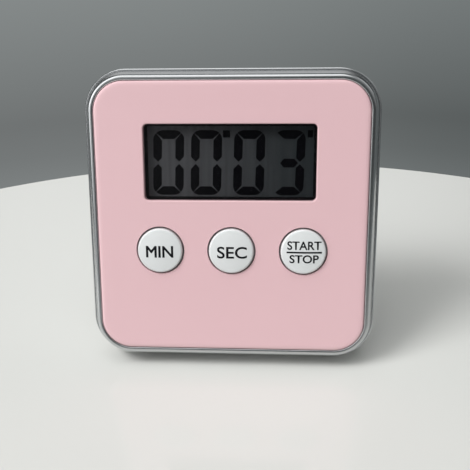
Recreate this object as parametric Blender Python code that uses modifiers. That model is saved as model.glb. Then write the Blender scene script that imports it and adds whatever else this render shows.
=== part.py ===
"""Square digital countdown timer, standing open on its fold-out stand.

Everything is modelled upright in the timer's own frame: X to the right, Y into the depth from the
front face, Z up from the lower edge. One empty then leans the whole timer back onto its stand.
Lengths are in metres.
"""

import math

import bmesh
import bpy
from mathutils import Matrix, Vector

# Whole body
BODY_WIDTH = 0.0700
BODY_HEIGHT = 0.0706
CORNER_RADIUS = 0.0100
REAR_FILLET = 0.0040
CORNER_STEPS = 8
FILLET_STEPS = 3
LEAN = math.radians(15)

# Gaps and overlaps
FIT_GAP = 0.0003
THIN_GAP = 0.00015
OVERRUN = 0.0010
WELD_DEPTH = 0.0004
MERGE_DISTANCE = 0.00001

# Silver frame ring
LIP_FRONT = 0.00015
LIP_BACK = 0.0016
LIP_INSET = 0.0026
LIP_WIDTH = 0.0003
LIP_ROUND = 0.00045
FLANK_INSET = 0.00025
FLANK_DEPTH = 0.0031
WAIST_DEPTH = 0.0037
RING_WALL = 0.0018
RING_BACK = 0.0052

# Front panel
PANEL_THICKNESS = 0.0016
PANEL_ROUND_WIDTH = 0.00145
PANEL_ROUND_DEPTH = 0.0006
PANEL_EDGE_SHARES = ((1, 0), (0.5, 0.08), (0.15, 0.37), (0, 1))
FLANGE_THICKNESS = 0.0009
RIM_INSET = 0.0042

# Window, lens and display
WINDOW_LEFT_OF_CENTRE = 0.0003
WINDOW_RADIUS = 0.0010
LENS_RECESS = 0.00035
LENS_FLANGE_WIDTH = 0.0021
LENS_FLANGE_THICKNESS = 0.0006
GLASS_THICKNESS = 0.0007
GLASS_SIDE_MARGIN = 0.0019
GLASS_TOP_SHARE = 0.0312
GLASS_LEDGE_SHARE = 0.0326
REFLECTOR_THICKNESS = 0.0002
REFLECTOR_SIDE_MARGIN = 0.0010
REFLECTOR_END_SHARE = 0.0142
REFLECTOR_GAP = 0.0002
HOLDER_SIDE_WALL = 0.0022
HOLDER_END_SHARE = 0.0312
HOLDER_LEDGE = 0.0018
HOLDER_LEDGE_THICKNESS = 0.0004
HOLDER_SIDE_GAP = 0.0009
HOLDER_ABOVE_BUTTONS_SHARE = 0.0138
ZEBRA_WIDTH = 0.0016
ZEBRA_END_MARGIN = 0.0015

# Buttons, their domes and contact pills
BUTTON_PITCH_SHARE = 0.6143
BUTTON_ABOVE_BAY_SHARE = 0.0255
BUTTON_RADIUS = 0.0054
BUTTON_HOLE_GAP = 0.00025
BUTTON_PROUD = 0.0007
BUTTON_CROWN = 0.00035
BUTTON_CROWN_SHARES = (0, 0.35, 0.65, 0.85, 1)
BUTTON_EDGE = 0.0005
BUTTON_EDGE_SHARE = 0.3
BUTTON_FLANGE_WIDTH = 0.0010
BUTTON_FLANGE_THICKNESS = 0.0006
BUTTON_POST_RADIUS = 0.0018
BUTTON_POST_LENGTH = 0.0006
BUTTON_STEPS = 32
DOME_TOP_RADIUS = 0.0026
DOME_FOOT_RADIUS = 0.0043
DOME_BASE_RADIUS = 0.0052
DOME_BASE_THICKNESS = 0.0005
DOME_SKIN = 0.0005
PILL_RADIUS = 0.0014
PILL_THICKNESS = 0.0003
SMALL_STEPS = 16
HOLE_STEPS = 12
ROUND_STEPS = 20
SOUNDER_STEPS = 24

# Circuit board and what is on it
BOARD_THICKNESS = 0.0010
BOARD_SIDE_GAP = 0.0006
BOARD_ABOVE_BAY = 0.0004
BOARD_BELOW_RIM_SHARE = 0.0074
BOARD_EDGE_SHARE = 0.0297
BOARD_RADIUS = 0.0015
CHIP_RADIUS = 0.0045
CHIP_HEIGHT = 0.0014
CHIP_FROM_SIDE = 0.0100
CHIP_BELOW_TOP = 0.0203
CHIP_ANGLES = (0, 25, 50, 72, 90)
CRYSTAL_RADIUS = 0.0010
CRYSTAL_LENGTH = 0.0060
CRYSTAL_FROM_SIDE = 0.0130
CRYSTAL_BELOW_TOP = 0.0168
CAPACITOR_LENGTH = 0.0020
CAPACITOR_WIDTH = 0.0012
CAPACITOR_FROM_SIDE = 0.0120
CAPACITOR_BELOW_TOP = 0.0228
CAPACITOR_SPACING = 0.0030

# Screws, posts and bosses
CASE_SCREW_INSET = 0.0070
CASE_SCREW_ABOVE_DOOR = 0.0009
CASE_SCREW_BELOW_TOP = 0.0085
CASE_SCREW_RADIUS = 0.00095
CASE_SCREW_HEAD_RADIUS = 0.0021
CASE_SCREW_HEAD_HEIGHT = 0.0014
CASE_SCREW_TIP_DEPTH = 0.0036
CASE_POST_RADIUS = 0.0024
CASE_POST_PAST_BOARD = 0.0021
PILOT_FLOOR = 0.0024
BOSS_RADIUS = 0.0033
COUNTERBORE_RADIUS = 0.0024
COUNTERBORE_DEPTH = 0.0045
SCREW_HOLE_GAP = 0.00025
BOARD_SCREW_ABOVE_BAY = 0.0026
BOARD_SCREW_FROM_SIDE = 0.0070
BOARD_SCREW_RADIUS = 0.00075
BOARD_SCREW_HEAD_RADIUS = 0.0015
BOARD_SCREW_HEAD_HEIGHT = 0.0009
BOARD_SCREW_TIP_DEPTH = 0.0026
BOARD_POST_RADIUS = 0.0019
SCREW_POINT = 0.0008
SCREW_HEAD_SHARE = 0.7
SCREW_POINT_SHARE = 0.33

# Back cover
COVER_STEP = 0.00015
COVER_WALL = 0.0018
BACK_WALL = 0.0020
TONGUE_THICKNESS = 0.0012
TONGUE_ROOT = 0.0010

# AAA cell and its bay
CELL_RADIUS = 0.00525
CELL_LENGTH = 0.0437
CELL_EDGE = 0.0004
NUB_RADIUS = 0.0019
NUB_LENGTH = 0.0008
CELL_HEIGHT_SHARE = 0.185552
CELL_FRONT_GAP = 0.00035
CELL_BACK_GAP = 0.00045
BAY_SIDE_GAP = 0.00025
BAY_WALL = 0.0010
CONTACT_THICKNESS = 0.0004
CONTACT_WIDTH = 0.0080
TAB_WIDTH = 0.0020
TAB_RISE = 0.0018
SPRING_LENGTH = 0.0040
SPRING_BASE_RADIUS = 0.0034
SPRING_TIP_RADIUS = 0.0020
SPRING_WIRE_RADIUS = 0.0003
SPRING_TURNS = 3
SPRING_STEPS = 12

# Battery door
DOOR_THICKNESS = 0.0018
DOOR_MARGIN = 0.0013
DOOR_END_MARGIN = 0.0011
DOOR_RIGHT_INSET = 0.0020
DOOR_TONGUE_THICKNESS = 0.0008
DOOR_TONGUE_WIDTH = 0.0007
DOOR_TONGUE_SETBACK = 0.0040
DOOR_PAD_THICKNESS = 0.0022
DOOR_PAD_MARGIN = 0.0018
GRIP_COUNT = 5
GRIP_WIDTH = 0.0009
GRIP_PITCH = 0.0018
GRIP_LENGTH = 0.0084
GRIP_DEPTH = 0.0005
GRIP_FROM_EDGE = 0.0035

# Magnets
MAGNET_INSET = 0.0125
MAGNET_BELOW_TOP = 0.0176
MAGNET_RADIUS = 0.0050
MAGNET_THICKNESS = 0.0020
MAGNET_PAD_WALL = 0.0014
MAGNET_PAD_FLOOR = 0.0012

# Sounder and wires
SOUNDER_RADIUS = 0.0075
SOUNDER_THICKNESS = 0.0003
CERAMIC_RADIUS = 0.0050
SOUNDER_RING_WALL = 0.0008
SOUNDER_RING_HEIGHT = 0.0020
SOUND_HOLE_RADIUS = 0.0007
SOUND_HOLE_CIRCLE = 0.0030
SOUND_HOLE_COUNT = 6
WIRE_RADIUS = 0.0004
WIRE_RUN = 0.0058
WIRE_TURN = 0.0031
WIRE_RISE = 0.0040
WIRE_SPREAD_SHARE = 0.5

# Stand
HINGE_ABOVE_DOOR = 0.0055
HINGE_FROM_BACK = 0.0023
STAND_WIDTH_SHARE = 0.32
STAND_TIP_BELOW_TOP = 0.00876414
STAND_THICKNESS = 0.0022
STAND_SIDE_GAP = 0.0004
STAND_CORNER = 0.0040
STAND_DISH = 0.0008
STAND_DISH_MARGIN = 0.0030
BARREL_RADIUS = 0.0020
PIN_RADIUS = 0.0008
PIN_GAP = 0.0002
PIN_OVERHANG = 0.0022
RECESS_FLOOR = 0.0016
HINGE_EAR = 0.0028
SCOOP_RADIUS = 0.0042
SCOOP_DEPTH = 0.0016

# Layers in depth, from the front face to the back
PANEL_INSET = LIP_INSET + FIT_GAP
FLANGE_INSET = RING_WALL + FIT_GAP
FLANGE_FRONT = LIP_BACK + FIT_GAP
FLANGE_BACK = FLANGE_FRONT + FLANGE_THICKNESS
COVER_FRONT = RING_BACK + FIT_GAP
COVER_INNER = COVER_STEP + COVER_WALL
TONGUE_FRONT = FLANGE_BACK + FIT_GAP
TONGUE_INNER = FLANGE_INSET + TONGUE_THICKNESS
LENS_BACK = PANEL_THICKNESS + FIT_GAP + LENS_FLANGE_THICKNESS
GLASS_FRONT = LENS_BACK + FIT_GAP
REAR_GLASS_FRONT = GLASS_FRONT + GLASS_THICKNESS + THIN_GAP
REFLECTOR_FRONT = REAR_GLASS_FRONT + GLASS_THICKNESS + THIN_GAP
HOLDER_LEDGE_FRONT = REFLECTOR_FRONT + REFLECTOR_THICKNESS + REFLECTOR_GAP
BOARD_FRONT = HOLDER_LEDGE_FRONT + HOLDER_LEDGE_THICKNESS + FIT_GAP
BOARD_BACK = BOARD_FRONT + BOARD_THICKNESS
BUTTON_FLANGE_FRONT = PANEL_THICKNESS + FIT_GAP
BUTTON_POST_BACK = BUTTON_FLANGE_FRONT + BUTTON_FLANGE_THICKNESS + BUTTON_POST_LENGTH
DOME_FRONT = BUTTON_POST_BACK + FIT_GAP
CASE_POST_BACK = BOARD_BACK + CASE_POST_PAST_BOARD
BAY_FRONT = PANEL_THICKNESS + FIT_GAP
BAY_CAVITY_FRONT = BAY_FRONT + BAY_WALL
CELL_DEPTH = BAY_CAVITY_FRONT + CELL_FRONT_GAP + CELL_RADIUS
DOOR_INNER = CELL_DEPTH + CELL_RADIUS + CELL_BACK_GAP
DOOR_FLOOR = DOOR_INNER - FIT_GAP
BODY_DEPTH = DOOR_INNER + DOOR_THICKNESS
INNER_BACK = BODY_DEPTH - BACK_WALL
COUNTERBORE_FLOOR = BODY_DEPTH - COUNTERBORE_DEPTH
STAND_AXIS_DEPTH = BODY_DEPTH - HINGE_FROM_BACK
STAND_OUTER = BARREL_RADIUS
STAND_INNER = STAND_OUTER - STAND_THICKNESS
RECESS_DEPTH = STAND_AXIS_DEPTH + STAND_INNER - FIT_GAP
POCKET_DEPTH = STAND_AXIS_DEPTH - BARREL_RADIUS - FIT_GAP
SOUNDER_FLOOR = RECESS_DEPTH - RECESS_FLOOR

# Heights, from the battery bay upwards and from the top down; the window takes what is between
CELL_HEIGHT = BODY_HEIGHT * CELL_HEIGHT_SHARE
BAY_HALF_HEIGHT = CELL_RADIUS + BAY_SIDE_GAP
BAY_TOP = CELL_HEIGHT + BAY_HALF_HEIGHT + BAY_WALL
DOOR_HALF_HEIGHT = BAY_HALF_HEIGHT + DOOR_MARGIN
GROOVE_HALF_HEIGHT = DOOR_HALF_HEIGHT + FIT_GAP + DOOR_TONGUE_WIDTH
DOOR_GROOVE_TOP = CELL_HEIGHT + GROOVE_HALF_HEIGHT
HINGE_HEIGHT = DOOR_GROOVE_TOP + HINGE_ABOVE_DOOR
STAND_REACH = BODY_HEIGHT - STAND_TIP_BELOW_TOP - HINGE_HEIGHT
RECESS_TOP = HINGE_HEIGHT + STAND_REACH + FIT_GAP
HINGE_BLOCK_TOP = HINGE_HEIGHT + BARREL_RADIUS + FIT_GAP + RECESS_FLOOR
SOUNDER_HEIGHT = (HINGE_BLOCK_TOP + RECESS_TOP) / 2
BUTTON_FLANGE_RADIUS = BUTTON_RADIUS + BUTTON_FLANGE_WIDTH
BUTTON_HEIGHT = BAY_TOP + BODY_HEIGHT * BUTTON_ABOVE_BAY_SHARE + BUTTON_FLANGE_RADIUS
CASE_SCREW_LOW = DOOR_GROOVE_TOP + CASE_SCREW_ABOVE_DOOR + COUNTERBORE_RADIUS
CASE_SCREW_HIGH = BODY_HEIGHT - CASE_SCREW_BELOW_TOP
BOARD_BOTTOM = BAY_TOP + BOARD_ABOVE_BAY
BOARD_TOP = BODY_HEIGHT - TONGUE_INNER - BODY_HEIGHT * BOARD_BELOW_RIM_SHARE
BOARD_SCREW_LOW = BAY_TOP + BOARD_SCREW_ABOVE_BAY
BOARD_SCREW_HIGH = BOARD_TOP - BODY_HEIGHT * BOARD_EDGE_SHARE
HOLDER_TOP = BOARD_SCREW_HIGH - BOARD_POST_RADIUS - THIN_GAP
HOLDER_BOTTOM = BUTTON_HEIGHT + BUTTON_FLANGE_RADIUS + BODY_HEIGHT * HOLDER_ABOVE_BUTTONS_SHARE
GLASS_TOP = HOLDER_TOP - BODY_HEIGHT * HOLDER_END_SHARE - FIT_GAP
GLASS_BOTTOM = HOLDER_BOTTOM + BODY_HEIGHT * HOLDER_END_SHARE + FIT_GAP
GLASS_LEDGE = BODY_HEIGHT * GLASS_LEDGE_SHARE
WINDOW_TOP = GLASS_TOP - BODY_HEIGHT * GLASS_TOP_SHARE
WINDOW_BOTTOM = GLASS_BOTTOM + GLASS_LEDGE
MAGNET_HEIGHT = BODY_HEIGHT - MAGNET_BELOW_TOP

# Distances from the middle out to the sides
CASE_SCREW_SIDE = BODY_WIDTH / 2 - CASE_SCREW_INSET
BUTTON_PITCH = CASE_SCREW_SIDE * BUTTON_PITCH_SHARE
BOARD_SIDE = CASE_SCREW_SIDE - CASE_POST_RADIUS - BOARD_SIDE_GAP
BOARD_SCREW_SIDE_LOW = BUTTON_PITCH / 2
BOARD_SCREW_SIDE_HIGH = BOARD_SIDE - BOARD_SCREW_FROM_SIDE
HOLDER_SIDE = CASE_SCREW_SIDE - CASE_POST_RADIUS - HOLDER_SIDE_GAP
WINDOW_SIDE = HOLDER_SIDE - HOLDER_SIDE_WALL - FIT_GAP - GLASS_SIDE_MARGIN
MAGNET_SIDE = BODY_WIDTH / 2 - MAGNET_INSET
STAND_HALF_WIDTH = BODY_WIDTH * STAND_WIDTH_SHARE / 2
RECESS_HALF_WIDTH = STAND_HALF_WIDTH + STAND_SIDE_GAP
SPRING_END = -(CELL_LENGTH + NUB_LENGTH) / 2 - FIT_GAP
SPRING_FOOT = SPRING_END - SPRING_LENGTH
CELL_SHIFT = (SPRING_LENGTH + FIT_GAP) / 2
BAY_HALF_LENGTH = -SPRING_FOOT - CELL_SHIFT + CONTACT_THICKNESS + 2 * FIT_GAP
DOOR_LEFT = BAY_HALF_LENGTH + DOOR_END_MARGIN
DOOR_RIGHT = BODY_WIDTH / 2 - DOOR_RIGHT_INSET
DOOR_TONGUE_LEFT = DOOR_LEFT - DOOR_TONGUE_SETBACK
DOOR_TONGUE_RIGHT = DOOR_RIGHT - DOOR_TONGUE_SETBACK


def frame_lift():
    """Height of the leaning frame at which the flat of the rear lower edge meets the table."""
    flat = math.pi / 4 / FILLET_STEPS
    centre_depth = BODY_DEPTH - REAR_FILLET
    centre_height = REAR_FILLET + COVER_STEP
    return centre_depth * math.sin(LEAN) - centre_height * math.cos(LEAN) + REAR_FILLET * math.cos(flat)


def leaned(depth, height):
    """Distance back and height over the table of a point of the upright timer, before it is centred."""
    back = depth * math.cos(LEAN) + height * math.sin(LEAN)
    up = height * math.cos(LEAN) - depth * math.sin(LEAN) + frame_lift()
    return back, up


def stand_fall():
    """Angle below the horizontal at which the open stand's inner face reaches the table."""
    axis_height = leaned(STAND_AXIS_DEPTH, HINGE_HEIGHT)[1]
    away = math.hypot(STAND_REACH, STAND_INNER)
    return math.asin(axis_height / away) - math.atan2(STAND_INNER, STAND_REACH)


def stand_open():
    """Angle that the stand turns through from folded to open."""
    return stand_fall() + math.pi / 2 - LEAN


def stand_reach(offset):
    """Length of the stand along its own plate, at an offset from its axis, down to the table."""
    fall = stand_fall()
    axis_height = leaned(STAND_AXIS_DEPTH, HINGE_HEIGHT)[1]
    return (axis_height - offset * math.cos(fall)) / math.sin(fall)


def centring():
    """Distance that the frame moves forward so that the whole object is centred over its origin."""
    fall = stand_fall()
    axis_back = leaned(STAND_AXIS_DEPTH, HINGE_HEIGHT)[0]
    rearmost = axis_back + STAND_REACH * math.cos(fall) - STAND_INNER * math.sin(fall)
    foremost = min(leaned(depth, inset)[0] for inset, depth in ring_profile())
    return (foremost + rearmost) / 2


def material(name, colour, roughness, metallic=0.0, alpha=1.0):
    made = bpy.data.materials.get(name) or bpy.data.materials.new(name)
    made.use_nodes = True
    shader = made.node_tree.nodes["Principled BSDF"]
    shader.inputs["Base Color"].default_value = (*colour, 1.0)
    shader.inputs["Roughness"].default_value = roughness
    shader.inputs["Metallic"].default_value = metallic
    shader.inputs["Alpha"].default_value = alpha
    made.diffuse_color = (*colour, alpha)
    return made


def pink_plastic():
    return material("pink_plastic", (0.76, 0.50, 0.53), 0.30)


def satin_silver():
    return material("satin_silver", (0.62, 0.63, 0.65), 0.28, 0.9)


def white_plastic():
    return material("white_plastic", (0.80, 0.81, 0.82), 0.35)


def smoked_lens():
    return material("smoked_lens", (0.10, 0.10, 0.11), 0.08, 0.0, 0.4)


def display_glass():
    return material("display_glass", (0.12, 0.12, 0.12), 0.12)


def grey_film():
    return material("grey_film", (0.30, 0.31, 0.30), 0.5)


def black_plastic():
    return material("black_plastic", (0.03, 0.03, 0.03), 0.45)


def silicone():
    return material("silicone", (0.72, 0.72, 0.70), 0.6)


def carbon_rubber():
    return material("carbon_rubber", (0.02, 0.02, 0.02), 0.8)


def board_green():
    return material("board_green", (0.03, 0.22, 0.08), 0.4)


def black_resin():
    return material("black_resin", (0.02, 0.02, 0.02), 0.25)


def tinned_metal():
    return material("tinned_metal", (0.70, 0.70, 0.69), 0.3, 1.0)


def brass():
    return material("brass", (0.75, 0.58, 0.28), 0.3, 1.0)


def ceramic():
    return material("ceramic", (0.78, 0.76, 0.70), 0.5)


def cell_jacket():
    return material("cell_jacket", (0.10, 0.12, 0.14), 0.35, 0.3)


def screw_steel():
    return material("screw_steel", (0.55, 0.55, 0.56), 0.3, 1.0)


def red_wire():
    return material("red_wire", (0.55, 0.04, 0.04), 0.45)


def black_wire():
    return material("black_wire", (0.03, 0.03, 0.03), 0.45)


def clear_scene():
    for found in list(bpy.data.objects):
        bpy.data.objects.remove(found, do_unlink=True)


def new_collection(name):
    made = bpy.data.collections.new(name)
    bpy.context.scene.collection.children.link(made)
    return made


def add_object(name, data, finish=None):
    """Puts a mesh or curve in the timer's frame: a part with a finish, or else a cutter."""
    made = bpy.data.objects.new(name, data)
    if finish:
        PARTS.objects.link(made)
        data.materials.append(finish)
    else:
        CUTTERS.objects.link(made)
        made.hide_render = True
        made.display_type = "WIRE"
    made.parent = FRAME
    return made


def mesh_from(name, bm):
    bmesh.ops.recalc_face_normals(bm, faces=bm.faces)
    mesh = bpy.data.meshes.new(name)
    bm.to_mesh(mesh)
    bm.free()
    mesh.shade_smooth()
    mesh.set_sharp_from_angle(angle=math.radians(35))
    return mesh


def block(name, low, high, finish=None):
    """A box between two corners, each (x, depth, height)."""
    bm = bmesh.new()
    bmesh.ops.create_cube(bm, size=1.0)
    low, high = Vector(low), Vector(high)
    bmesh.ops.scale(bm, vec=high - low, verts=bm.verts)
    bmesh.ops.translate(bm, vec=(low + high) / 2, verts=bm.verts)
    return add_object(name, mesh_from(name, bm), finish)


def rod(name, radius, start, end, finish=None, steps=SMALL_STEPS):
    """A cylinder between two points."""
    start, end = Vector(start), Vector(end)
    run = end - start
    turn = Vector((0, 0, 1)).rotation_difference(run).to_matrix().to_4x4()
    bm = bmesh.new()
    bmesh.ops.create_cone(
        bm,
        cap_ends=True,
        segments=steps,
        radius1=radius,
        radius2=radius,
        depth=run.length,
        matrix=Matrix.Translation((start + end) / 2) @ turn,
    )
    return add_object(name, mesh_from(name, bm), finish)


def turned(name, profile, place, facing, finish=None, steps=SMALL_STEPS):
    """A profile of (radius, height) turned about its axis, which faces front, back or right."""
    mesh = bpy.data.meshes.new(name)
    points = [(radius, 0, height) for radius, height in profile]
    mesh.from_pydata(points, [(i, i + 1) for i in range(len(points) - 1)], [])
    made = add_object(name, mesh, finish)
    made.location = place
    made.rotation_euler = {
        "front": (math.radians(90), 0, 0),
        "back": (math.radians(-90), 0, 0),
        "right": (0, math.radians(90), 0),
    }[facing]
    spin = made.modifiers.new("turn", "SCREW")
    spin.steps = steps
    spin.render_steps = steps
    spin.use_merge_vertices = True
    spin.merge_threshold = MERGE_DISTANCE
    spin.use_smooth_shade = True
    return made


def rounded_loop(left, right, bottom, top, radius, depth, steps=CORNER_STEPS):
    """Points round a rectangle with rounded corners, at one depth."""
    radius = max(min(radius, (right - left) / 2, (top - bottom) / 2), THIN_GAP)
    corners = (
        (right - radius, top - radius, 0),
        (left + radius, top - radius, 90),
        (left + radius, bottom + radius, 180),
        (right - radius, bottom + radius, 270),
    )
    loop = []
    for x, z, first in corners:
        for step in range(steps + 1):
            angle = math.radians(first + 90 * step / steps)
            loop.append((x + radius * math.cos(angle), depth, z + radius * math.sin(angle)))
    return loop


def body_loop(inset, depth):
    """The timer's outline drawn in by inset, at one depth."""
    half = BODY_WIDTH / 2 - inset
    return rounded_loop(-half, half, inset, BODY_HEIGHT - inset, CORNER_RADIUS - inset, depth)


def loft(name, loops, finish=None, closed=False):
    """Joins loops of equal count, in order, into one skin; closed joins the last to the first."""
    bm = bmesh.new()
    rings = [[bm.verts.new(point) for point in loop] for loop in loops]
    pairs = list(zip(rings, rings[1:]))
    if closed:
        pairs.append((rings[-1], rings[0]))
    for first, second in pairs:
        for i in range(len(first)):
            j = (i + 1) % len(first)
            bm.faces.new((first[i], first[j], second[j], second[i]))
    if not closed:
        bm.faces.new(rings[0])
        bm.faces.new(rings[-1])
    return add_object(name, mesh_from(name, bm), finish)


def plate(name, left, right, bottom, top, radius, front, back, finish=None, steps=CORNER_STEPS):
    """A flat plate with rounded corners."""
    loops = [rounded_loop(left, right, bottom, top, radius, depth, steps) for depth in (front, back)]
    return loft(name, loops, finish)


def combine(target, other, operation):
    change = target.modifiers.new(f"{operation.lower()}_{other.name}", "BOOLEAN")
    change.object = other
    change.operation = operation
    change.solver = "EXACT"
    return target


def cut(target, *cutters):
    for cutter in cutters:
        combine(target, cutter, "DIFFERENCE")
    return target


def join(target, *others):
    for other in others:
        combine(target, other, "UNION")
    return target


def arc(centre_inset, centre_depth, radius, first, last, steps):
    """(inset, depth) points on an arc: at 0 degrees it points outwards, at 90 towards the back."""
    points = []
    for step in range(steps + 1):
        angle = math.radians(first + (last - first) * step / steps)
        points.append((centre_inset - radius * math.cos(angle), centre_depth + radius * math.sin(angle)))
    return points


def ring_profile():
    """Section of the frame ring as (inset, depth): lip, rounded front edge, sloped flank, wall."""
    edge_inset = LIP_INSET - LIP_WIDTH
    return [
        (LIP_INSET, LIP_FRONT + LIP_ROUND / 2),
        (LIP_INSET - LIP_WIDTH / 3, LIP_FRONT),
        (edge_inset, LIP_FRONT),
        (edge_inset - LIP_ROUND / 2, LIP_FRONT + LIP_ROUND / 5),
        (edge_inset - LIP_ROUND, LIP_FRONT + LIP_ROUND * 2 / 3),
        (FLANK_INSET, FLANK_DEPTH),
        ((FLANK_INSET + COVER_STEP) / 6, (FLANK_DEPTH + WAIST_DEPTH) / 2),
        (0, WAIST_DEPTH),
        (0, RING_BACK),
        (RING_WALL, RING_BACK),
        (RING_WALL, LIP_BACK),
        (LIP_INSET, LIP_BACK),
    ]


def make_frame_ring():
    loft("frame_ring", [body_loop(*point) for point in ring_profile()], satin_silver(), closed=True)


def case_screw_places():
    heights = (CASE_SCREW_LOW, CASE_SCREW_HIGH)
    return [(side * CASE_SCREW_SIDE, height) for height in heights for side in (-1, 1)]


def board_screw_places():
    low = [(side * BOARD_SCREW_SIDE_LOW, BOARD_SCREW_LOW) for side in (-1, 1)]
    high = [(side * BOARD_SCREW_SIDE_HIGH, BOARD_SCREW_HIGH) for side in (-1, 1)]
    return low + high


def button_places():
    names = ("minutes", "seconds", "start_stop")
    return [(name, (i - 1) * BUTTON_PITCH) for i, name in enumerate(names)]


def window_edges(margin=0.0):
    """Left, right, bottom and top of the window, made larger by a margin."""
    return (
        -WINDOW_LEFT_OF_CENTRE - WINDOW_SIDE - margin,
        -WINDOW_LEFT_OF_CENTRE + WINDOW_SIDE + margin,
        WINDOW_BOTTOM - margin,
        WINDOW_TOP + margin,
    )


def make_front_panel():
    front = [
        (PANEL_INSET + PANEL_ROUND_WIDTH * across, PANEL_ROUND_DEPTH * down) for across, down in PANEL_EDGE_SHARES
    ]
    behind = [
        (PANEL_INSET, FLANGE_FRONT),
        (FLANGE_INSET, FLANGE_FRONT),
        (FLANGE_INSET, FLANGE_BACK),
        (RIM_INSET, FLANGE_BACK),
        (RIM_INSET, PANEL_THICKNESS),
    ]
    panel = loft("front_panel", [body_loop(*point) for point in front + behind], pink_plastic())
    root = PANEL_THICKNESS - WELD_DEPTH
    for i, (x, z) in enumerate(case_screw_places()):
        join(panel, rod(f"case_post_{i}", CASE_POST_RADIUS, (x, root, z), (x, CASE_POST_BACK, z)))
        hole_end = CASE_POST_BACK + OVERRUN
        pilot = CASE_SCREW_RADIUS + SCREW_HOLE_GAP
        cut(panel, rod(f"case_pilot_{i}", pilot, (x, PILOT_FLOOR, z), (x, hole_end, z)))
    for i, (x, z) in enumerate(board_screw_places()):
        end = BOARD_FRONT - FIT_GAP
        join(panel, rod(f"board_post_{i}", BOARD_POST_RADIUS, (x, root, z), (x, end, z)))
        pilot = BOARD_SCREW_RADIUS + SCREW_HOLE_GAP
        cut(panel, rod(f"board_pilot_{i}", pilot, (x, PANEL_THICKNESS, z), (x, end + OVERRUN, z)))
    edges = window_edges()
    cut(panel, plate("window_cut", *edges, WINDOW_RADIUS, -OVERRUN, PANEL_THICKNESS + OVERRUN))
    cut(panel, bay_relief())
    for name, x in button_places():
        start = (x, -OVERRUN, BUTTON_HEIGHT)
        end = (x, PANEL_THICKNESS + OVERRUN, BUTTON_HEIGHT)
        cut(panel, rod(f"hole_{name}", BUTTON_RADIUS + BUTTON_HOLE_GAP, start, end, None, BUTTON_STEPS))


def bay_relief():
    """Room behind the face for the battery bay, where a narrow body brings the panel's rim close."""
    half_height = BAY_HALF_HEIGHT + BAY_WALL + FIT_GAP
    half_length = BAY_HALF_LENGTH + BAY_WALL + FIT_GAP
    low = (-half_length, PANEL_THICKNESS, CELL_HEIGHT - half_height)
    return block("bay_relief", low, (half_length, FLANGE_BACK + OVERRUN, CELL_HEIGHT + half_height))


def make_display_lens():
    flange_front = PANEL_THICKNESS + FIT_GAP
    inner = window_edges(-FIT_GAP)
    outer = window_edges(LENS_FLANGE_WIDTH - FIT_GAP)
    sections = (
        (inner, LENS_RECESS),
        (inner, flange_front),
        (outer, flange_front),
        (outer, LENS_BACK),
    )
    radius = WINDOW_RADIUS - FIT_GAP
    loft("display_lens", [rounded_loop(*edges, radius, depth) for edges, depth in sections], smoked_lens())


def make_display():
    left, right, bottom, top = window_edges()
    left -= GLASS_SIDE_MARGIN
    right += GLASS_SIDE_MARGIN
    glass = display_glass()
    front_back = GLASS_FRONT + GLASS_THICKNESS
    block("lcd_front_glass", (left, GLASS_FRONT, GLASS_BOTTOM), (right, front_back, GLASS_TOP), glass)
    rear_back = REAR_GLASS_FRONT + GLASS_THICKNESS
    block("lcd_rear_glass", (left, REAR_GLASS_FRONT, bottom), (right, rear_back, GLASS_TOP), glass)
    end_margin = BODY_HEIGHT * REFLECTOR_END_SHARE
    block(
        "lcd_reflector",
        (left + REFLECTOR_SIDE_MARGIN, REFLECTOR_FRONT, bottom + end_margin),
        (right - REFLECTOR_SIDE_MARGIN, REFLECTOR_FRONT + REFLECTOR_THICKNESS, GLASS_TOP - end_margin),
        grey_film(),
    )
    zebra_bottom = GLASS_BOTTOM + (GLASS_LEDGE - ZEBRA_WIDTH) / 2
    block(
        "zebra_strip",
        (left + ZEBRA_END_MARGIN, front_back + THIN_GAP, zebra_bottom),
        (right - ZEBRA_END_MARGIN, BOARD_FRONT - THIN_GAP, zebra_bottom + ZEBRA_WIDTH),
        carbon_rubber(),
    )
    make_display_holder(left - FIT_GAP, right + FIT_GAP)


def make_display_holder(left, right):
    """A frame round the glass, with a ledge behind it on three sides."""
    front = PANEL_THICKNESS + FIT_GAP
    back = BOARD_FRONT - FIT_GAP
    bottom, top = GLASS_BOTTOM - FIT_GAP, GLASS_TOP + FIT_GAP
    wall = HOLDER_SIDE_WALL
    holder = plate(
        "lcd_holder", left - wall, right + wall, HOLDER_BOTTOM, HOLDER_TOP, wall / 2, front, back, black_plastic()
    )
    cut(holder, block("holder_well", (left, front - OVERRUN, bottom), (right, HOLDER_LEDGE_FRONT, top)))
    cut(
        holder,
        block(
            "holder_opening",
            (left + HOLDER_LEDGE, front, bottom),
            (right - HOLDER_LEDGE, back + OVERRUN, top - HOLDER_LEDGE),
        ),
    )


def make_buttons():
    flange = BUTTON_FLANGE_RADIUS
    flange_back = BUTTON_FLANGE_FRONT + BUTTON_FLANGE_THICKNESS
    crown_edge = BUTTON_RADIUS - BUTTON_EDGE
    crown = [
        (crown_edge * share, BUTTON_PROUD + BUTTON_CROWN * (1 - share**2)) for share in BUTTON_CROWN_SHARES
    ]
    cut_back = BUTTON_EDGE * BUTTON_EDGE_SHARE
    profile = crown + [
        (BUTTON_RADIUS - cut_back, BUTTON_PROUD - cut_back),
        (BUTTON_RADIUS, BUTTON_PROUD - BUTTON_EDGE),
        (BUTTON_RADIUS, -BUTTON_FLANGE_FRONT),
        (flange, -BUTTON_FLANGE_FRONT),
        (flange, -flange_back),
        (BUTTON_POST_RADIUS, -flange_back),
        (BUTTON_POST_RADIUS, -BUTTON_POST_BACK),
        (0, -BUTTON_POST_BACK),
    ]
    for name, x in button_places():
        place = (x, 0, BUTTON_HEIGHT)
        turned(f"button_{name}", profile, place, "front", white_plastic(), BUTTON_STEPS)


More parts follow.
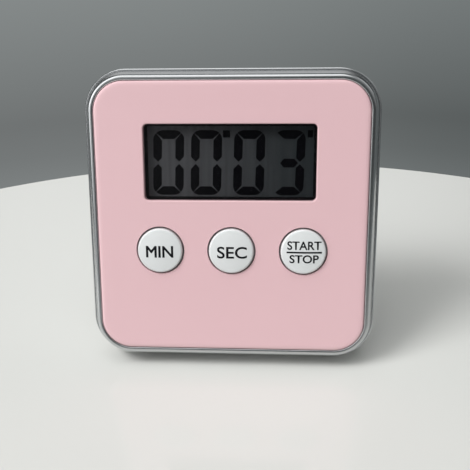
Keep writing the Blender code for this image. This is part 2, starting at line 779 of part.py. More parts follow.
def make_rubber_domes():
    base_back = BOARD_FRONT - FIT_GAP
    base_front = base_back - DOME_BASE_THICKNESS
    hollow_top = DOME_FRONT + DOME_SKIN
    dome = [
        (0, -DOME_FRONT),
        (DOME_TOP_RADIUS, -DOME_FRONT),
        (DOME_FOOT_RADIUS, -base_front),
        (DOME_BASE_RADIUS, -base_front),
        (DOME_BASE_RADIUS, -base_back),
        (DOME_FOOT_RADIUS - DOME_SKIN, -base_back),
        (DOME_TOP_RADIUS - DOME_SKIN, -hollow_top),
        (0, -hollow_top),
    ]
    pill_front = hollow_top + FIT_GAP
    pill = disc_profile(PILL_RADIUS, -pill_front - PILL_THICKNESS, -pill_front)
    for name, x in button_places():
        place = (x, 0, BUTTON_HEIGHT)
        turned(f"rubber_dome_{name}", dome, place, "front", silicone())
        turned(f"contact_pill_{name}", pill, place, "front", carbon_rubber())


def disc_profile(radius, bottom, top):
    return [(0, top), (radius, top), (radius, bottom), (0, bottom)]


def make_circuit_board():
    half = BOARD_SIDE
    board = plate(
        "circuit_board", -half, half, BOARD_BOTTOM, BOARD_TOP, BOARD_RADIUS, BOARD_FRONT, BOARD_BACK, board_green(), 2
    )
    for i, (x, z) in enumerate(board_screw_places()):
        start = (x, BOARD_FRONT - OVERRUN, z)
        end = (x, BOARD_BACK + OVERRUN, z)
        cut(board, rod(f"board_hole_{i}", BOARD_SCREW_RADIUS + SCREW_HOLE_GAP, start, end))
    seat = BOARD_BACK + THIN_GAP
    chip = [
        (CHIP_RADIUS * math.sin(math.radians(a)), CHIP_HEIGHT * math.cos(math.radians(a))) for a in CHIP_ANGLES
    ]
    place = (CHIP_FROM_SIDE - half, seat, BOARD_TOP - CHIP_BELOW_TOP)
    turned("chip_resin", chip + [(0, 0)], place, "back", black_resin())
    crystal_depth = seat + CRYSTAL_RADIUS
    start = (half - CRYSTAL_FROM_SIDE, crystal_depth, BOARD_TOP - CRYSTAL_BELOW_TOP)
    end = (half - CRYSTAL_FROM_SIDE + CRYSTAL_LENGTH, crystal_depth, BOARD_TOP - CRYSTAL_BELOW_TOP)
    rod("crystal", CRYSTAL_RADIUS, start, end, tinned_metal())
    for i in range(2):
        low = (half - CAPACITOR_FROM_SIDE + i * CAPACITOR_SPACING, seat, BOARD_TOP - CAPACITOR_BELOW_TOP)
        high = (low[0] + CAPACITOR_WIDTH, seat + CAPACITOR_WIDTH, low[2] + CAPACITOR_LENGTH)
        block(f"capacitor_{i + 1}", low, high, ceramic())


def screw_profile(shaft, length, head, head_height):
    """A pan-head screw with its head's underside at height zero, pointing down."""
    return [
        (0, head_height),
        (head * SCREW_HEAD_SHARE, head_height),
        (head, head_height / 2),
        (head, 0),
        (shaft, 0),
        (shaft, -length + SCREW_POINT),
        (shaft * SCREW_POINT_SHARE, -length),
        (0, -length),
    ]


def make_screws():
    head_seat = COUNTERBORE_FLOOR + FIT_GAP
    case_length = head_seat - CASE_SCREW_TIP_DEPTH
    case = screw_profile(CASE_SCREW_RADIUS, case_length, CASE_SCREW_HEAD_RADIUS, CASE_SCREW_HEAD_HEIGHT)
    for i, (x, z) in enumerate(case_screw_places()):
        turned(f"case_screw_{i + 1}", case, (x, head_seat, z), "back", screw_steel())
    head_seat = BOARD_BACK + FIT_GAP
    board_length = head_seat - BOARD_SCREW_TIP_DEPTH
    board = screw_profile(BOARD_SCREW_RADIUS, board_length, BOARD_SCREW_HEAD_RADIUS, BOARD_SCREW_HEAD_HEIGHT)
    for i, (x, z) in enumerate(board_screw_places()):
        turned(f"board_screw_{i + 1}", board, (x, head_seat, z), "back", screw_steel(), HOLE_STEPS)


def cover_skin(name, finish=None):
    """The back cover's outer shape as one block, from its tongue to the rounded rear edge."""
    tongue = FLANGE_INSET
    edge = arc(COVER_STEP + REAR_FILLET, BODY_DEPTH - REAR_FILLET, REAR_FILLET, 0, 90, FILLET_STEPS)
    sections = [
        (tongue, TONGUE_FRONT),
        (tongue, COVER_FRONT),
        (COVER_STEP, COVER_FRONT),
    ] + edge
    return loft(name, [body_loop(*point) for point in sections], finish)


def cover_hollow():
    """The room inside the back cover, with what stands in it left out."""
    root = COVER_FRONT + TONGUE_ROOT
    inner_round = REAR_FILLET - COVER_WALL
    edge = arc(COVER_INNER + inner_round, INNER_BACK - inner_round, inner_round, 0, 90, FILLET_STEPS)
    sections = [
        (TONGUE_INNER, TONGUE_FRONT - OVERRUN),
        (TONGUE_INNER, root),
        (COVER_INNER, root + TONGUE_INNER - COVER_INNER),
    ] + edge
    hollow = loft("cover_hollow", [body_loop(*point) for point in sections])
    back = BODY_DEPTH
    for i, (x, z) in enumerate(case_screw_places()):
        start = (x, CASE_POST_BACK + FIT_GAP, z)
        cut(hollow, rod(f"case_boss_{i}", BOSS_RADIUS, start, (x, back, z)))
    for side in (-1, 1):
        x = side * MAGNET_SIDE
        pad_front = BODY_DEPTH - MAGNET_THICKNESS - FIT_GAP - MAGNET_PAD_FLOOR
        pad_radius = MAGNET_RADIUS + FIT_GAP + MAGNET_PAD_WALL
        start = (x, pad_front, MAGNET_HEIGHT)
        cut(hollow, rod(f"magnet_pad_{side + 1}", pad_radius, start, (x, back, MAGNET_HEIGHT)))
    ring_radius = SOUNDER_RADIUS + FIT_GAP + SOUNDER_RING_WALL
    start = (0, SOUNDER_FLOOR - SOUNDER_RING_HEIGHT, SOUNDER_HEIGHT)
    cut(hollow, rod("sounder_seat", ring_radius, start, (0, back, SOUNDER_HEIGHT), None, SOUNDER_STEPS))
    cut(hollow, door_pad(), stand_pad(), hinge_block())
    return hollow


def door_pad():
    """Thick part of the back wall that the door's grooves are cut in, out to the right side."""
    half = DOOR_HALF_HEIGHT + DOOR_TONGUE_WIDTH + DOOR_PAD_MARGIN
    low = (-DOOR_LEFT - DOOR_PAD_MARGIN, DOOR_FLOOR - DOOR_PAD_THICKNESS, CELL_HEIGHT - half)
    return block("door_pad", low, (BODY_WIDTH, BODY_DEPTH, CELL_HEIGHT + half))


def recess_bottom():
    """Height of the recess's lower edge, where the open stand comes to its stop."""
    turn = stand_open()
    past_axis = HINGE_FROM_BACK - STAND_OUTER * math.cos(turn)
    along = past_axis / math.sin(turn)
    fall = STAND_OUTER * math.sin(turn) - along * math.cos(turn)
    return HINGE_HEIGHT - fall - FIT_GAP


def stand_pad():
    side = RECESS_HALF_WIDTH + RECESS_FLOOR
    low = (-side, RECESS_DEPTH - RECESS_FLOOR, recess_bottom() - RECESS_FLOOR / 2)
    return block("stand_pad", low, (side, BODY_DEPTH, RECESS_TOP + RECESS_FLOOR))


def hinge_block():
    side = RECESS_HALF_WIDTH + HINGE_EAR
    low = (-side, POCKET_DEPTH - RECESS_FLOOR, recess_bottom() - RECESS_FLOOR / 2)
    return block("hinge_block", low, (side, BODY_DEPTH, HINGE_BLOCK_TOP))


def bay_shell():
    """The walls of the battery bay, which stand forward to the front panel."""
    half_height = BAY_HALF_HEIGHT + BAY_WALL
    half_length = BAY_HALF_LENGTH + BAY_WALL
    low = (-half_length, BAY_FRONT, CELL_HEIGHT - half_height)
    high = (half_length, DOOR_FLOOR - DOOR_PAD_THICKNESS / 2, CELL_HEIGHT + half_height)
    return block("bay_shell", low, high)


def cut_battery_bay(cover):
    behind = BODY_DEPTH + OVERRUN
    low = (-BAY_HALF_LENGTH, BAY_CAVITY_FRONT, CELL_HEIGHT - BAY_HALF_HEIGHT)
    cut(cover, block("bay_room", low, (BAY_HALF_LENGTH, behind, CELL_HEIGHT + BAY_HALF_HEIGHT)))
    half = DOOR_HALF_HEIGHT + FIT_GAP
    low = (-DOOR_LEFT - FIT_GAP, DOOR_FLOOR, CELL_HEIGHT - half)
    cut(cover, block("door_recess", low, (BODY_WIDTH, behind, CELL_HEIGHT + half)))
    groove_back = DOOR_INNER + DOOR_TONGUE_THICKNESS + FIT_GAP
    low = (-DOOR_TONGUE_LEFT - FIT_GAP, DOOR_FLOOR, CELL_HEIGHT - GROOVE_HALF_HEIGHT)
    cut(cover, block("door_groove", low, (BODY_WIDTH, groove_back, DOOR_GROOVE_TOP)))
    for side in (-1, 1):
        inner, outer = contact_span(side)
        slot = FIT_GAP
        low = (inner - slot, CELL_DEPTH - TAB_WIDTH / 2 - slot, CELL_HEIGHT)
        high = (outer + slot, CELL_DEPTH + TAB_WIDTH / 2 + slot, BAY_TOP + BAY_WALL)
        cut(cover, block(f"tab_slot_{side + 1}", low, high))


def contact_span(side):
    """Left and right face of the contact plate at one end of the bay."""
    outer = side * (BAY_HALF_LENGTH - FIT_GAP)
    inner = outer - side * CONTACT_THICKNESS
    return min(inner, outer), max(inner, outer)


def cut_stand_recess(cover):
    behind = BODY_DEPTH + OVERRUN
    side = RECESS_HALF_WIDTH
    low = (-side, RECESS_DEPTH, recess_bottom())
    cut(cover, block("recess_cut", low, (side, behind, RECESS_TOP)))
    low = (-side, POCKET_DEPTH, recess_bottom())
    high = (side, behind, HINGE_HEIGHT + BARREL_RADIUS + FIT_GAP)
    cut(cover, block("pocket_cut", low, high))
    reach = side + HINGE_EAR + OVERRUN
    start = (-reach, STAND_AXIS_DEPTH, HINGE_HEIGHT)
    end = (reach, STAND_AXIS_DEPTH, HINGE_HEIGHT)
    cut(cover, rod("pin_bore", PIN_RADIUS + PIN_GAP, start, end))
    scoop_centre = RECESS_TOP - FIT_GAP
    start = (0, BODY_DEPTH - SCOOP_DEPTH, scoop_centre)
    cut(cover, rod("finger_scoop", SCOOP_RADIUS, start, (0, behind, scoop_centre), None, ROUND_STEPS))


def cut_screw_holes(cover):
    behind = BODY_DEPTH + OVERRUN
    for i, (x, z) in enumerate(case_screw_places()):
        start = (x, CASE_POST_BACK, z)
        cut(cover, rod(f"screw_hole_{i}", CASE_SCREW_RADIUS + SCREW_HOLE_GAP, start, (x, behind, z)))
        start = (x, COUNTERBORE_FLOOR, z)
        cut(cover, rod(f"counterbore_{i}", COUNTERBORE_RADIUS, start, (x, behind, z)))


def cut_magnet_pockets(cover):
    floor = BODY_DEPTH - MAGNET_THICKNESS - FIT_GAP
    for side in (-1, 1):
        x = side * MAGNET_SIDE
        start = (x, floor, MAGNET_HEIGHT)
        end = (x, BODY_DEPTH + OVERRUN, MAGNET_HEIGHT)
        cut(cover, rod(f"magnet_pocket_{side + 1}", MAGNET_RADIUS + FIT_GAP, start, end, None, SOUNDER_STEPS))


def cut_sounder_seat(cover):
    """A ring behind the stand recess holds the sounder, and holes lead from it into the recess."""
    start = (0, SOUNDER_FLOOR - SOUNDER_RING_HEIGHT - OVERRUN, SOUNDER_HEIGHT)
    end = (0, SOUNDER_FLOOR, SOUNDER_HEIGHT)
    cut(cover, rod("sounder_room", SOUNDER_RADIUS + FIT_GAP, start, end, None, SOUNDER_STEPS))
    places = [(0, SOUNDER_HEIGHT)]
    for i in range(SOUND_HOLE_COUNT):
        angle = 2 * math.pi * i / SOUND_HOLE_COUNT
        places.append((SOUND_HOLE_CIRCLE * math.cos(angle), SOUNDER_HEIGHT + SOUND_HOLE_CIRCLE * math.sin(angle)))
    for i, (x, z) in enumerate(places):
        start = (x, SOUNDER_FLOOR - WELD_DEPTH, z)
        cut(cover, rod(f"sound_hole_{i}", SOUND_HOLE_RADIUS, start, (x, RECESS_DEPTH + OVERRUN, z), None, HOLE_STEPS))


def make_back_cover():
    cover = cover_skin("back_cover", white_plastic())
    cut(cover, cover_hollow())
    join(cover, bay_shell())
    cut_battery_bay(cover)
    cut_stand_recess(cover)
    cut_screw_holes(cover)
    cut_magnet_pockets(cover)
    cut_sounder_seat(cover)


def make_battery_door():
    low = (-DOOR_LEFT, DOOR_INNER, CELL_HEIGHT - DOOR_HALF_HEIGHT)
    high = (DOOR_RIGHT, BODY_DEPTH + OVERRUN, CELL_HEIGHT + DOOR_HALF_HEIGHT)
    door = block("battery_door", low, high, white_plastic())
    combine(door, cover_skin("door_skin"), "INTERSECT")
    half = DOOR_HALF_HEIGHT + DOOR_TONGUE_WIDTH
    low = (-DOOR_TONGUE_LEFT, DOOR_INNER, CELL_HEIGHT - half)
    high = (DOOR_TONGUE_RIGHT, DOOR_INNER + DOOR_TONGUE_THICKNESS, CELL_HEIGHT + half)
    join(door, block("door_tongues", low, high))
    for i in range(GRIP_COUNT):
        x = -DOOR_LEFT + GRIP_FROM_EDGE + i * GRIP_PITCH
        low = (x, BODY_DEPTH - GRIP_DEPTH, CELL_HEIGHT - GRIP_LENGTH / 2)
        high = (x + GRIP_WIDTH, BODY_DEPTH + OVERRUN, CELL_HEIGHT + GRIP_LENGTH / 2)
        cut(door, block(f"grip_{i}", low, high))


def make_battery_cell():
    left = -(CELL_LENGTH + NUB_LENGTH) / 2 + CELL_SHIFT
    profile = [
        (0, CELL_LENGTH + NUB_LENGTH),
        (NUB_RADIUS, CELL_LENGTH + NUB_LENGTH),
        (NUB_RADIUS, CELL_LENGTH),
        (CELL_RADIUS - CELL_EDGE, CELL_LENGTH),
        (CELL_RADIUS, CELL_LENGTH - CELL_EDGE),
        (CELL_RADIUS, CELL_EDGE),
        (CELL_RADIUS - CELL_EDGE, 0),
        (0, 0),
    ]
    turned("battery_cell", profile, (left, CELL_DEPTH, CELL_HEIGHT), "right", cell_jacket(), SOUNDER_STEPS)


def make_battery_contacts():
    for side, name in ((-1, "negative"), (1, "positive")):
        left, right = contact_span(side)
        half = CONTACT_WIDTH / 2
        low = (left, CELL_DEPTH - half, CELL_HEIGHT - half)
        contact = block(f"contact_{name}", low, (right, CELL_DEPTH + half, CELL_HEIGHT + half), tinned_metal())
        half_tab = TAB_WIDTH / 2
        tab_top = CELL_HEIGHT + BAY_HALF_HEIGHT + TAB_RISE
        low = (left, CELL_DEPTH - half_tab, CELL_HEIGHT)
        join(contact, block(f"contact_tab_{name}", low, (right, CELL_DEPTH + half_tab, tab_top)))


def tube(name, points, radius, finish):
    """A round wire through points, made a closed mesh."""
    curve = bpy.data.curves.new(name, "CURVE")
    curve.dimensions = "3D"
    curve.bevel_depth = radius
    curve.bevel_resolution = 1
    curve.use_fill_caps = True
    spline = curve.splines.new("POLY")
    spline.points.add(len(points) - 1)
    for spot, point in zip(spline.points, points):
        spot.co = (*point, 1.0)
    guide = add_object(f"{name}_path", curve)
    bpy.context.view_layer.update()
    graph = bpy.context.evaluated_depsgraph_get()
    mesh = bpy.data.meshes.new_from_object(guide.evaluated_get(graph))
    bpy.data.objects.remove(guide, do_unlink=True)
    bm = bmesh.new()
    bm.from_mesh(mesh)
    bmesh.ops.remove_doubles(bm, verts=bm.verts, dist=MERGE_DISTANCE)
    bpy.data.meshes.remove(mesh)
    return add_object(name, mesh_from(name, bm), finish)


def make_battery_spring():
    """A conical coil that stands on the negative contact."""
    foot = contact_span(-1)[1] + FIT_GAP + SPRING_WIRE_RADIUS
    tip = foot + SPRING_LENGTH - 2 * SPRING_WIRE_RADIUS - FIT_GAP
    count = round(SPRING_TURNS * SPRING_STEPS)
    points = []
    for step in range(count + 1):
        share = step / count
        angle = 2 * math.pi * SPRING_TURNS * share
        radius = SPRING_BASE_RADIUS + (SPRING_TIP_RADIUS - SPRING_BASE_RADIUS) * share
        points.append(
            Vector(
                (
                    foot + (tip - foot) * share,
                    CELL_DEPTH + radius * math.cos(angle),
                    CELL_HEIGHT + radius * math.sin(angle),
                )
            )
        )
    near = [
        (a - b).length - 2 * SPRING_WIRE_RADIUS
        for i, a in enumerate(points)
        for b in points[i + SPRING_STEPS // 2 :]
    ]
    print(f"battery_spring: least gap between turns {min(near) * 1000:.2f} mm")
    tube("battery_spring", points, SPRING_WIRE_RADIUS, tinned_metal())


def bent_path(points, steps=4):
    """A smooth curve through a few points, as a list of closer points."""
    points = [Vector(point) for point in points]
    ends = [points[0] * 2 - points[1], *points, points[-1] * 2 - points[-2]]
    path = []
    for a, b, c, d in zip(ends, ends[1:], ends[2:], ends[3:]):
        for step in range(steps):
            t = step / steps
            path.append(((2 * b) + (c - a) * t + (2 * a - 5 * b + 4 * c - d) * t**2 + (3 * b - a - 3 * c + d) * t**3) / 2)
    return path + [points[-1]]


def make_wires():
    """Each battery wire leaves its tab inwards, under the case posts, and then rises to the board."""
    board_side = BOARD_BACK + FIT_GAP + WIRE_RADIUS
    run_height = BAY_TOP + FIT_GAP + WIRE_RADIUS
    for side, name, finish in ((-1, "black", black_wire()), (1, "red", red_wire())):
        tab_face = min(contact_span(side), key=abs)
        start = tab_face - side * THIN_GAP
        bend = start - side * WIRE_RUN
        foot = bend - side * WIRE_TURN
        route = [
            (start, CELL_DEPTH, run_height),
            (bend, CELL_DEPTH, run_height),
            (foot, board_side + WIRE_RADIUS, run_height + WIRE_RISE / 2),
            (foot - side * WIRE_TURN, board_side, run_height + WIRE_RISE + WIRE_TURN),
        ]
        tube(f"battery_wire_{name}", bent_path(route), WIRE_RADIUS, finish)
    spread = CERAMIC_RADIUS * WIRE_SPREAD_SHARE
    ceramic_side = SOUNDER_FLOOR - FIT_GAP * 2 - SOUNDER_THICKNESS * 2 - WIRE_RADIUS - THIN_GAP
    for x, name, finish in ((spread, "red", red_wire()), (-spread, "black", black_wire())):
        ring_height = SOUNDER_HEIGHT + SOUNDER_RADIUS
        route = [
            (x, ceramic_side, SOUNDER_HEIGHT),
            (x, ceramic_side - WIRE_RADIUS * 2, SOUNDER_HEIGHT + spread),
            (x, (ceramic_side + board_side) / 2, ring_height),
            (x, board_side, ring_height + spread),
        ]
        tube(f"sounder_wire_{name}", bent_path(route), WIRE_RADIUS, finish)


def make_sounder():
    place = (0, 0, SOUNDER_HEIGHT)
    back = SOUNDER_FLOOR - FIT_GAP
    disc = disc_profile(SOUNDER_RADIUS, back - SOUNDER_THICKNESS, back)
    turned("sounder_disc", disc, place, "back", brass(), SOUNDER_STEPS)
    back -= SOUNDER_THICKNESS + THIN_GAP
    layer = disc_profile(CERAMIC_RADIUS, back - SOUNDER_THICKNESS, back)
    turned("sounder_ceramic", layer, place, "back", ceramic(), SOUNDER_STEPS)


def make_magnets():
    profile = disc_profile(MAGNET_RADIUS, BODY_DEPTH - MAGNET_THICKNESS, BODY_DEPTH)
    for side, name in ((-1, "left"), (1, "right")):
        place = (side * MAGNET_SIDE, 0, MAGNET_HEIGHT)
        turned(f"magnet_{name}", profile, place, "back", tinned_metal(), SOUNDER_STEPS)


def make_stand():
    """Built folded, upwards from its hinge axis, then turned down to its open stop."""
    axis = bpy.data.objects.new("stand_axis", None)
    PARTS.objects.link(axis)
    axis.parent = FRAME
    axis.location = (0, STAND_AXIS_DEPTH, HINGE_HEIGHT)
    axis.rotation_euler = (-stand_open(), 0, 0)
    side = STAND_HALF_WIDTH
    top = STAND_REACH
    blank = top + OVERRUN
    loops = [
        rounded_loop(-side, side, -top, blank, STAND_CORNER, depth) for depth in (STAND_INNER, STAND_OUTER)
    ]
    stand = loft("stand", loops, white_plastic())
    below = block("stand_below", (-2 * side, -top, -2 * top), (2 * side, top, 0))
    barrel = rod("stand_barrel", BARREL_RADIUS, (-side, 0, 0), (side, 0, 0), None, ROUND_STEPS)
    bore = rod("stand_bore", PIN_RADIUS + PIN_GAP, (-side - OVERRUN, 0, 0), (side + OVERRUN, 0, 0))
    margin = STAND_DISH_MARGIN
    dish = plate(
        "stand_dish",
        -side + margin,
        side - margin,
        BARREL_RADIUS + margin,
        stand_reach(STAND_OUTER) - margin,
        STAND_CORNER / 2,
        STAND_OUTER - STAND_DISH,
        STAND_OUTER + OVERRUN,
        None,
        3,
    )
    low = (-2 * side, -top, 0)
    foot = block("stand_foot_cut", low, (2 * side, 2 * STAND_THICKNESS, top))
    slope = math.atan2(STAND_REACH - stand_reach(STAND_OUTER), STAND_THICKNESS)
    foot.location = (0, STAND_OUTER, stand_reach(STAND_OUTER))
    foot.rotation_euler = (-slope, 0, 0)
    helpers = (below, barrel, bore, dish, foot)
    for helper in (stand, *helpers):
        helper.parent = axis
    cut(stand, below)
    join(stand, barrel)
    cut(stand, bore, dish, foot)


def make_hinge_pin():
    reach = RECESS_HALF_WIDTH + PIN_OVERHANG
    start = (-reach, STAND_AXIS_DEPTH, HINGE_HEIGHT)
    end = (reach, STAND_AXIS_DEPTH, HINGE_HEIGHT)
    rod("stand_hinge_pin", PIN_RADIUS, start, end, screw_steel())


clear_scene()
PARTS = new_collection("digital_timer")
CUTTERS = new_collection("cutters")
FRAME = bpy.data.objects.new("timer_frame", None)
PARTS.objects.link(FRAME)
FRAME.rotation_euler = (-LEAN, 0, 0)
FRAME.location = (0, -centring(), frame_lift())

make_frame_ring()
make_front_panel()
make_display_lens()
make_display()
make_buttons()
make_rubber_domes()
make_circuit_board()
make_screws()
make_back_cover()
make_battery_door()
make_battery_cell()
make_battery_contacts()
make_battery_spring()
make_wires()
make_sounder()
make_magnets()
make_stand()
make_hinge_pin()
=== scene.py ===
"""Looks of the square digital timer: fine shapes, display, printed words, finishes and light.

Shapes are made in the timer's own upright frame in millimetres: X to the right, Y into the depth
from the front face, Z up from the lower edge. PLACE then leans and sets them where the CAD stands.
"""

import math

import bmesh
import bpy
from mathutils import Matrix, Vector


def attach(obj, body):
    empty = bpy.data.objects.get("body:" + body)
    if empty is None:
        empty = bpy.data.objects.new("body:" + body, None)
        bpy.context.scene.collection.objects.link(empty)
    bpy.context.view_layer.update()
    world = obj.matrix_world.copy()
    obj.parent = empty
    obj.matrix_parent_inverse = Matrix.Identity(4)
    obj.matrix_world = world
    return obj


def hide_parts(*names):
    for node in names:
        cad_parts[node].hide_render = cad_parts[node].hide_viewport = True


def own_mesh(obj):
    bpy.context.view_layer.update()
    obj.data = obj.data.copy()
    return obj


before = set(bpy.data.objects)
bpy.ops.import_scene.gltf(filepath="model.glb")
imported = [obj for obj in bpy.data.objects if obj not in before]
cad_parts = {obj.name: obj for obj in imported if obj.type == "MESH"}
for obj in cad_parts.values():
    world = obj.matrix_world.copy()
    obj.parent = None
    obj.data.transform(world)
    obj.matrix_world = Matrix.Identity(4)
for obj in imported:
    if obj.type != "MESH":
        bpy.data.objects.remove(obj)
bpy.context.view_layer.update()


# Sizes and places that several pieces share

LEAN = math.radians(15)
LIFT = 2.9609397
CENTRE = 23.0022913
PLACE = (
    Matrix.Scale(0.001, 4)
    @ Matrix.Translation((0, -CENTRE, LIFT))
    @ Matrix.Rotation(-LEAN, 4, "X")
)

WIDTH, HEIGHT, DEPTH, CORNER = 70.0, 70.6, 16.0, 10.0
CORNER_STEPS = 18
# Left, right, lower and upper edge
WINDOW = (-20.6, 20.0, 39.975, 57.925)
# Sideways place of each button; all stand at one height
BUTTONS = {"minutes": -17.2, "seconds": 0.0, "start_stop": 17.2}
BUTTON_Z = 27.8
# Places (x, z) on the face plane
CASE_SCREWS = ((-28, 24.2), (28, 24.2), (-28, 62.1), (28, 62.1))
MAGNETS = ((-22.5, 53.0), (22.5, 53.0))
SOUNDER = (0, 46.218)
# Place (depth, z) of the stand's axis
HINGE = (13.7, 26.4)


# Steps of node trees


def step(tree, kind, given, result=0):
    """Adds a node; a key in small letters is a setting, any other is an input to set or to link."""
    made = tree.nodes.new(kind)
    settings = [key for key in given if str(key).islower()]
    for key in settings:
        setattr(made, key, given[key])
    for key, value in given.items():
        if isinstance(value, bpy.types.NodeSocket):
            tree.links.new(value, made.inputs[key])
        elif key not in settings:
            made.inputs[key].default_value = value
    return made.outputs[result]


def remap(tree, source, start, end, curve="LINEAR"):
    """Maps one range of values to another."""
    given = {"Value": source, "interpolation_type": curve}
    given.update({"From Min": start[0], "From Max": start[1], "To Min": end[0], "To Max": end[1]})
    return step(tree, "ShaderNodeMapRange", given)


def blend(tree, source, stops):
    """Blends between stops of (place, colour), by the source's value."""
    ramp = tree.nodes.new("ShaderNodeValToRGB")
    made = ramp.color_ramp.elements
    for i, (at, colour) in enumerate(stops):
        stop = made[i] if i < len(made) else made.new(at)
        stop.position = at
        stop.color = (*colour, 1)
    tree.links.new(source, ramp.inputs["Fac"])
    return ramp.outputs["Color"]


def object_noise(tree, scale, detail, stretch=(1, 1, 1)):
    """Noise on the piece's own coordinates, so that it moves with the piece."""
    where = step(tree, "ShaderNodeTexCoord", {}, "Object")
    where = step(tree, "ShaderNodeMapping", {"Vector": where, "Scale": stretch})
    given = {"Vector": where, "Scale": scale, "Detail": detail}
    return step(tree, "ShaderNodeTexNoise", given, "Fac")


# Finishes


# Nearly all values of a noise lie between these
NOISE_SPAN = (0.15, 0.85)


def feed(mat, socket, source):
    mat.node_tree.links.new(source, mat.node_tree.nodes["Principled BSDF"].inputs[socket])


def vary_colour(mat, dark, light, scale, detail=3.0):
    tree = mat.node_tree
    stops = zip(NOISE_SPAN, (dark, light))
    feed(mat, "Base Color", blend(tree, object_noise(tree, scale, detail), stops))


def vary_roughness(mat, low, high, scale, detail=4.0):
    tree = mat.node_tree
    feed(mat, "Roughness", remap(tree, object_noise(tree, scale, detail), NOISE_SPAN, (low, high)))


def texture_bump(mat, scale, strength, depth=0.00002, detail=2.0):
    tree = mat.node_tree
    given = {"Height": object_noise(tree, scale, detail), "Strength": strength, "Distance": depth}
    feed(mat, "Normal", step(tree, "ShaderNodeBump", given))


def surface(name, colour, roughness, metallic=0.0, tones=None, gloss=None, grain=None, **sockets):
    """A finish that may vary over the piece.

    Tones are two colours and a scale, gloss two roughnesses and a scale, and grain a scale, a
    strength and a depth in metres. A further number in any of them is the detail of its noise.
    """
    mat = bpy.data.materials.new(name)
    mat.use_nodes = True
    mat.diffuse_color = (*colour, 1)
    plain = {"Base Color": (*colour, 1), "Roughness": roughness, "Metallic": metallic, **sockets}
    for key, value in plain.items():
        mat.node_tree.nodes["Principled BSDF"].inputs[key].default_value = value
    for change, given in ((vary_colour, tones), (vary_roughness, gloss), (texture_bump, grain)):
        if given:
            change(mat, *given)
    return mat


def shade(colour, factor):
    return tuple(channel * factor for channel in colour)


def display_ground(mat, left, right):
    """The display's grey ground darkens from left to right as painted light from the left, and has
    fine upright electrode lines.
    """
    tree = mat.node_tree
    painted_light_span = (-0.020, 0.018)
    line_scale, upright = 900, (1, 0.05, 0.05)
    line_noise, line_shades = (0.25, 0.75), (0.86, 1.14)
    where = step(tree, "ShaderNodeTexCoord", {}, "Object")
    across = step(tree, "ShaderNodeSeparateXYZ", {"Vector": where}, "X")
    # Painted light: the ground is lighter at the left, where the light comes from
    painted_light_fade = blend(tree, remap(tree, across, painted_light_span, (0.0, 1.0)), ((0.0, left), (1.0, right)))
    lines = remap(tree, object_noise(tree, line_scale, 1.0, upright), line_noise, line_shades)
    lined = {"operation": "SCALE", 0: painted_light_fade, "Scale": lines}
    feed(mat, "Base Color", step(tree, "ShaderNodeVectorMath", lined, "Vector"))


PINK = (0.790, 0.527, 0.557)
SILVER = (0.56, 0.57, 0.58)
WHITE = (0.731, 0.748, 0.750)

pink = surface(
    "pink_gloss", PINK, 0.16,
    tones=(shade(PINK, 0.994), shade(PINK, 1.006), 60, 1.0),
    gloss=(0.15, 0.18, 260, 1.0), grain=(900, 0.02), IOR=1.49,
)
silver = surface(
    "satin_plating", SILVER, 0.20, 1.0,
    tones=(shade(SILVER, 0.97), SILVER, 90), gloss=(0.21, 0.25, 120),
)
button_white = surface(
    "button_gloss", WHITE, 0.28,
    tones=(shade(WHITE, 0.985), WHITE, 500),
    gloss=(0.26, 0.36, 700), grain=(2200, 0.10, 0.00001), IOR=1.5,
)
case_white = surface(
    "case_fine_texture", (0.78, 0.79, 0.80), 0.42,
    tones=((0.765, 0.775, 0.785), (0.79, 0.80, 0.81), 140),
    gloss=(0.38, 0.50, 500), grain=(3800, 0.35, 0.00002, 4),
)
stand_white = surface(
    "stand_smooth", (0.79, 0.80, 0.81), 0.34,
    tones=((0.775, 0.785, 0.795), (0.80, 0.81, 0.82), 200), grain=(1500, 0.12, 0.00001),
)
lens = surface(
    "smoked_lens_clear", (0.003, 0.003, 0.004), 0.10, gloss=(0.08, 0.12, 300), IOR=1.45, Alpha=0.30
)
lens_edge = surface("lens_black_border", (0.006, 0.006, 0.007), 0.25, gloss=(0.2, 0.32, 800))
display_face = surface("display_ground", (0.060, 0.062, 0.064), 0.45, IOR=1.2)
# Lighter at the left and darker at the right: painted light from the left
display_ground(display_face, (0.24, 0.24, 0.255), (0.068, 0.082, 0.088))
segment_black = surface(
    "display_segment", (0.003, 0.003, 0.005), 0.6,
    tones=((0.002, 0.002, 0.003), (0.004, 0.004, 0.006), 300), IOR=1.1,
)
ink = surface("printed_ink", (0.005, 0.005, 0.007), 0.5, gloss=(0.36, 0.50, 1500), IOR=1.25)
steel = surface(
    "plated_steel", (0.60, 0.60, 0.61), 0.28, 1.0,
    gloss=(0.20, 0.36, 900), grain=(2500, 0.2, 0.00001),
)
magnet_metal = surface(
    "nickel_magnet", (0.62, 0.61, 0.59), 0.22, 1.0,
    tones=((0.56, 0.55, 0.53), (0.66, 0.65, 0.63), 350),
    gloss=(0.16, 0.34, 500), grain=(1800, 0.15, 0.00001),
)
spring_steel = surface("tinned_contact", (0.70, 0.70, 0.68), 0.26, 1.0, gloss=(0.2, 0.34, 1200))
board_green = surface(
    "board_mask", (0.02, 0.16, 0.06), 0.32,
    tones=((0.016, 0.13, 0.05), (0.026, 0.19, 0.07), 500), grain=(1600, 0.3, 0.00002),
)
resin = surface(
    "potting_resin", (0.012, 0.012, 0.013), 0.18,
    gloss=(0.12, 0.28, 700), grain=(500, 0.4, 0.00005),
)
rubber_pale = surface("silicone_pad", (0.62, 0.62, 0.60), 0.55, gloss=(0.5, 0.65, 900))
rubber_black = surface("carbon_pill", (0.015, 0.015, 0.015), 0.8, gloss=(0.7, 0.9, 900))
black_moulding = surface("black_moulding", (0.02, 0.02, 0.022), 0.45, gloss=(0.38, 0.52, 900))
film_grey = surface("reflector_film", (0.30, 0.31, 0.30), 0.45, gloss=(0.4, 0.5, 900))
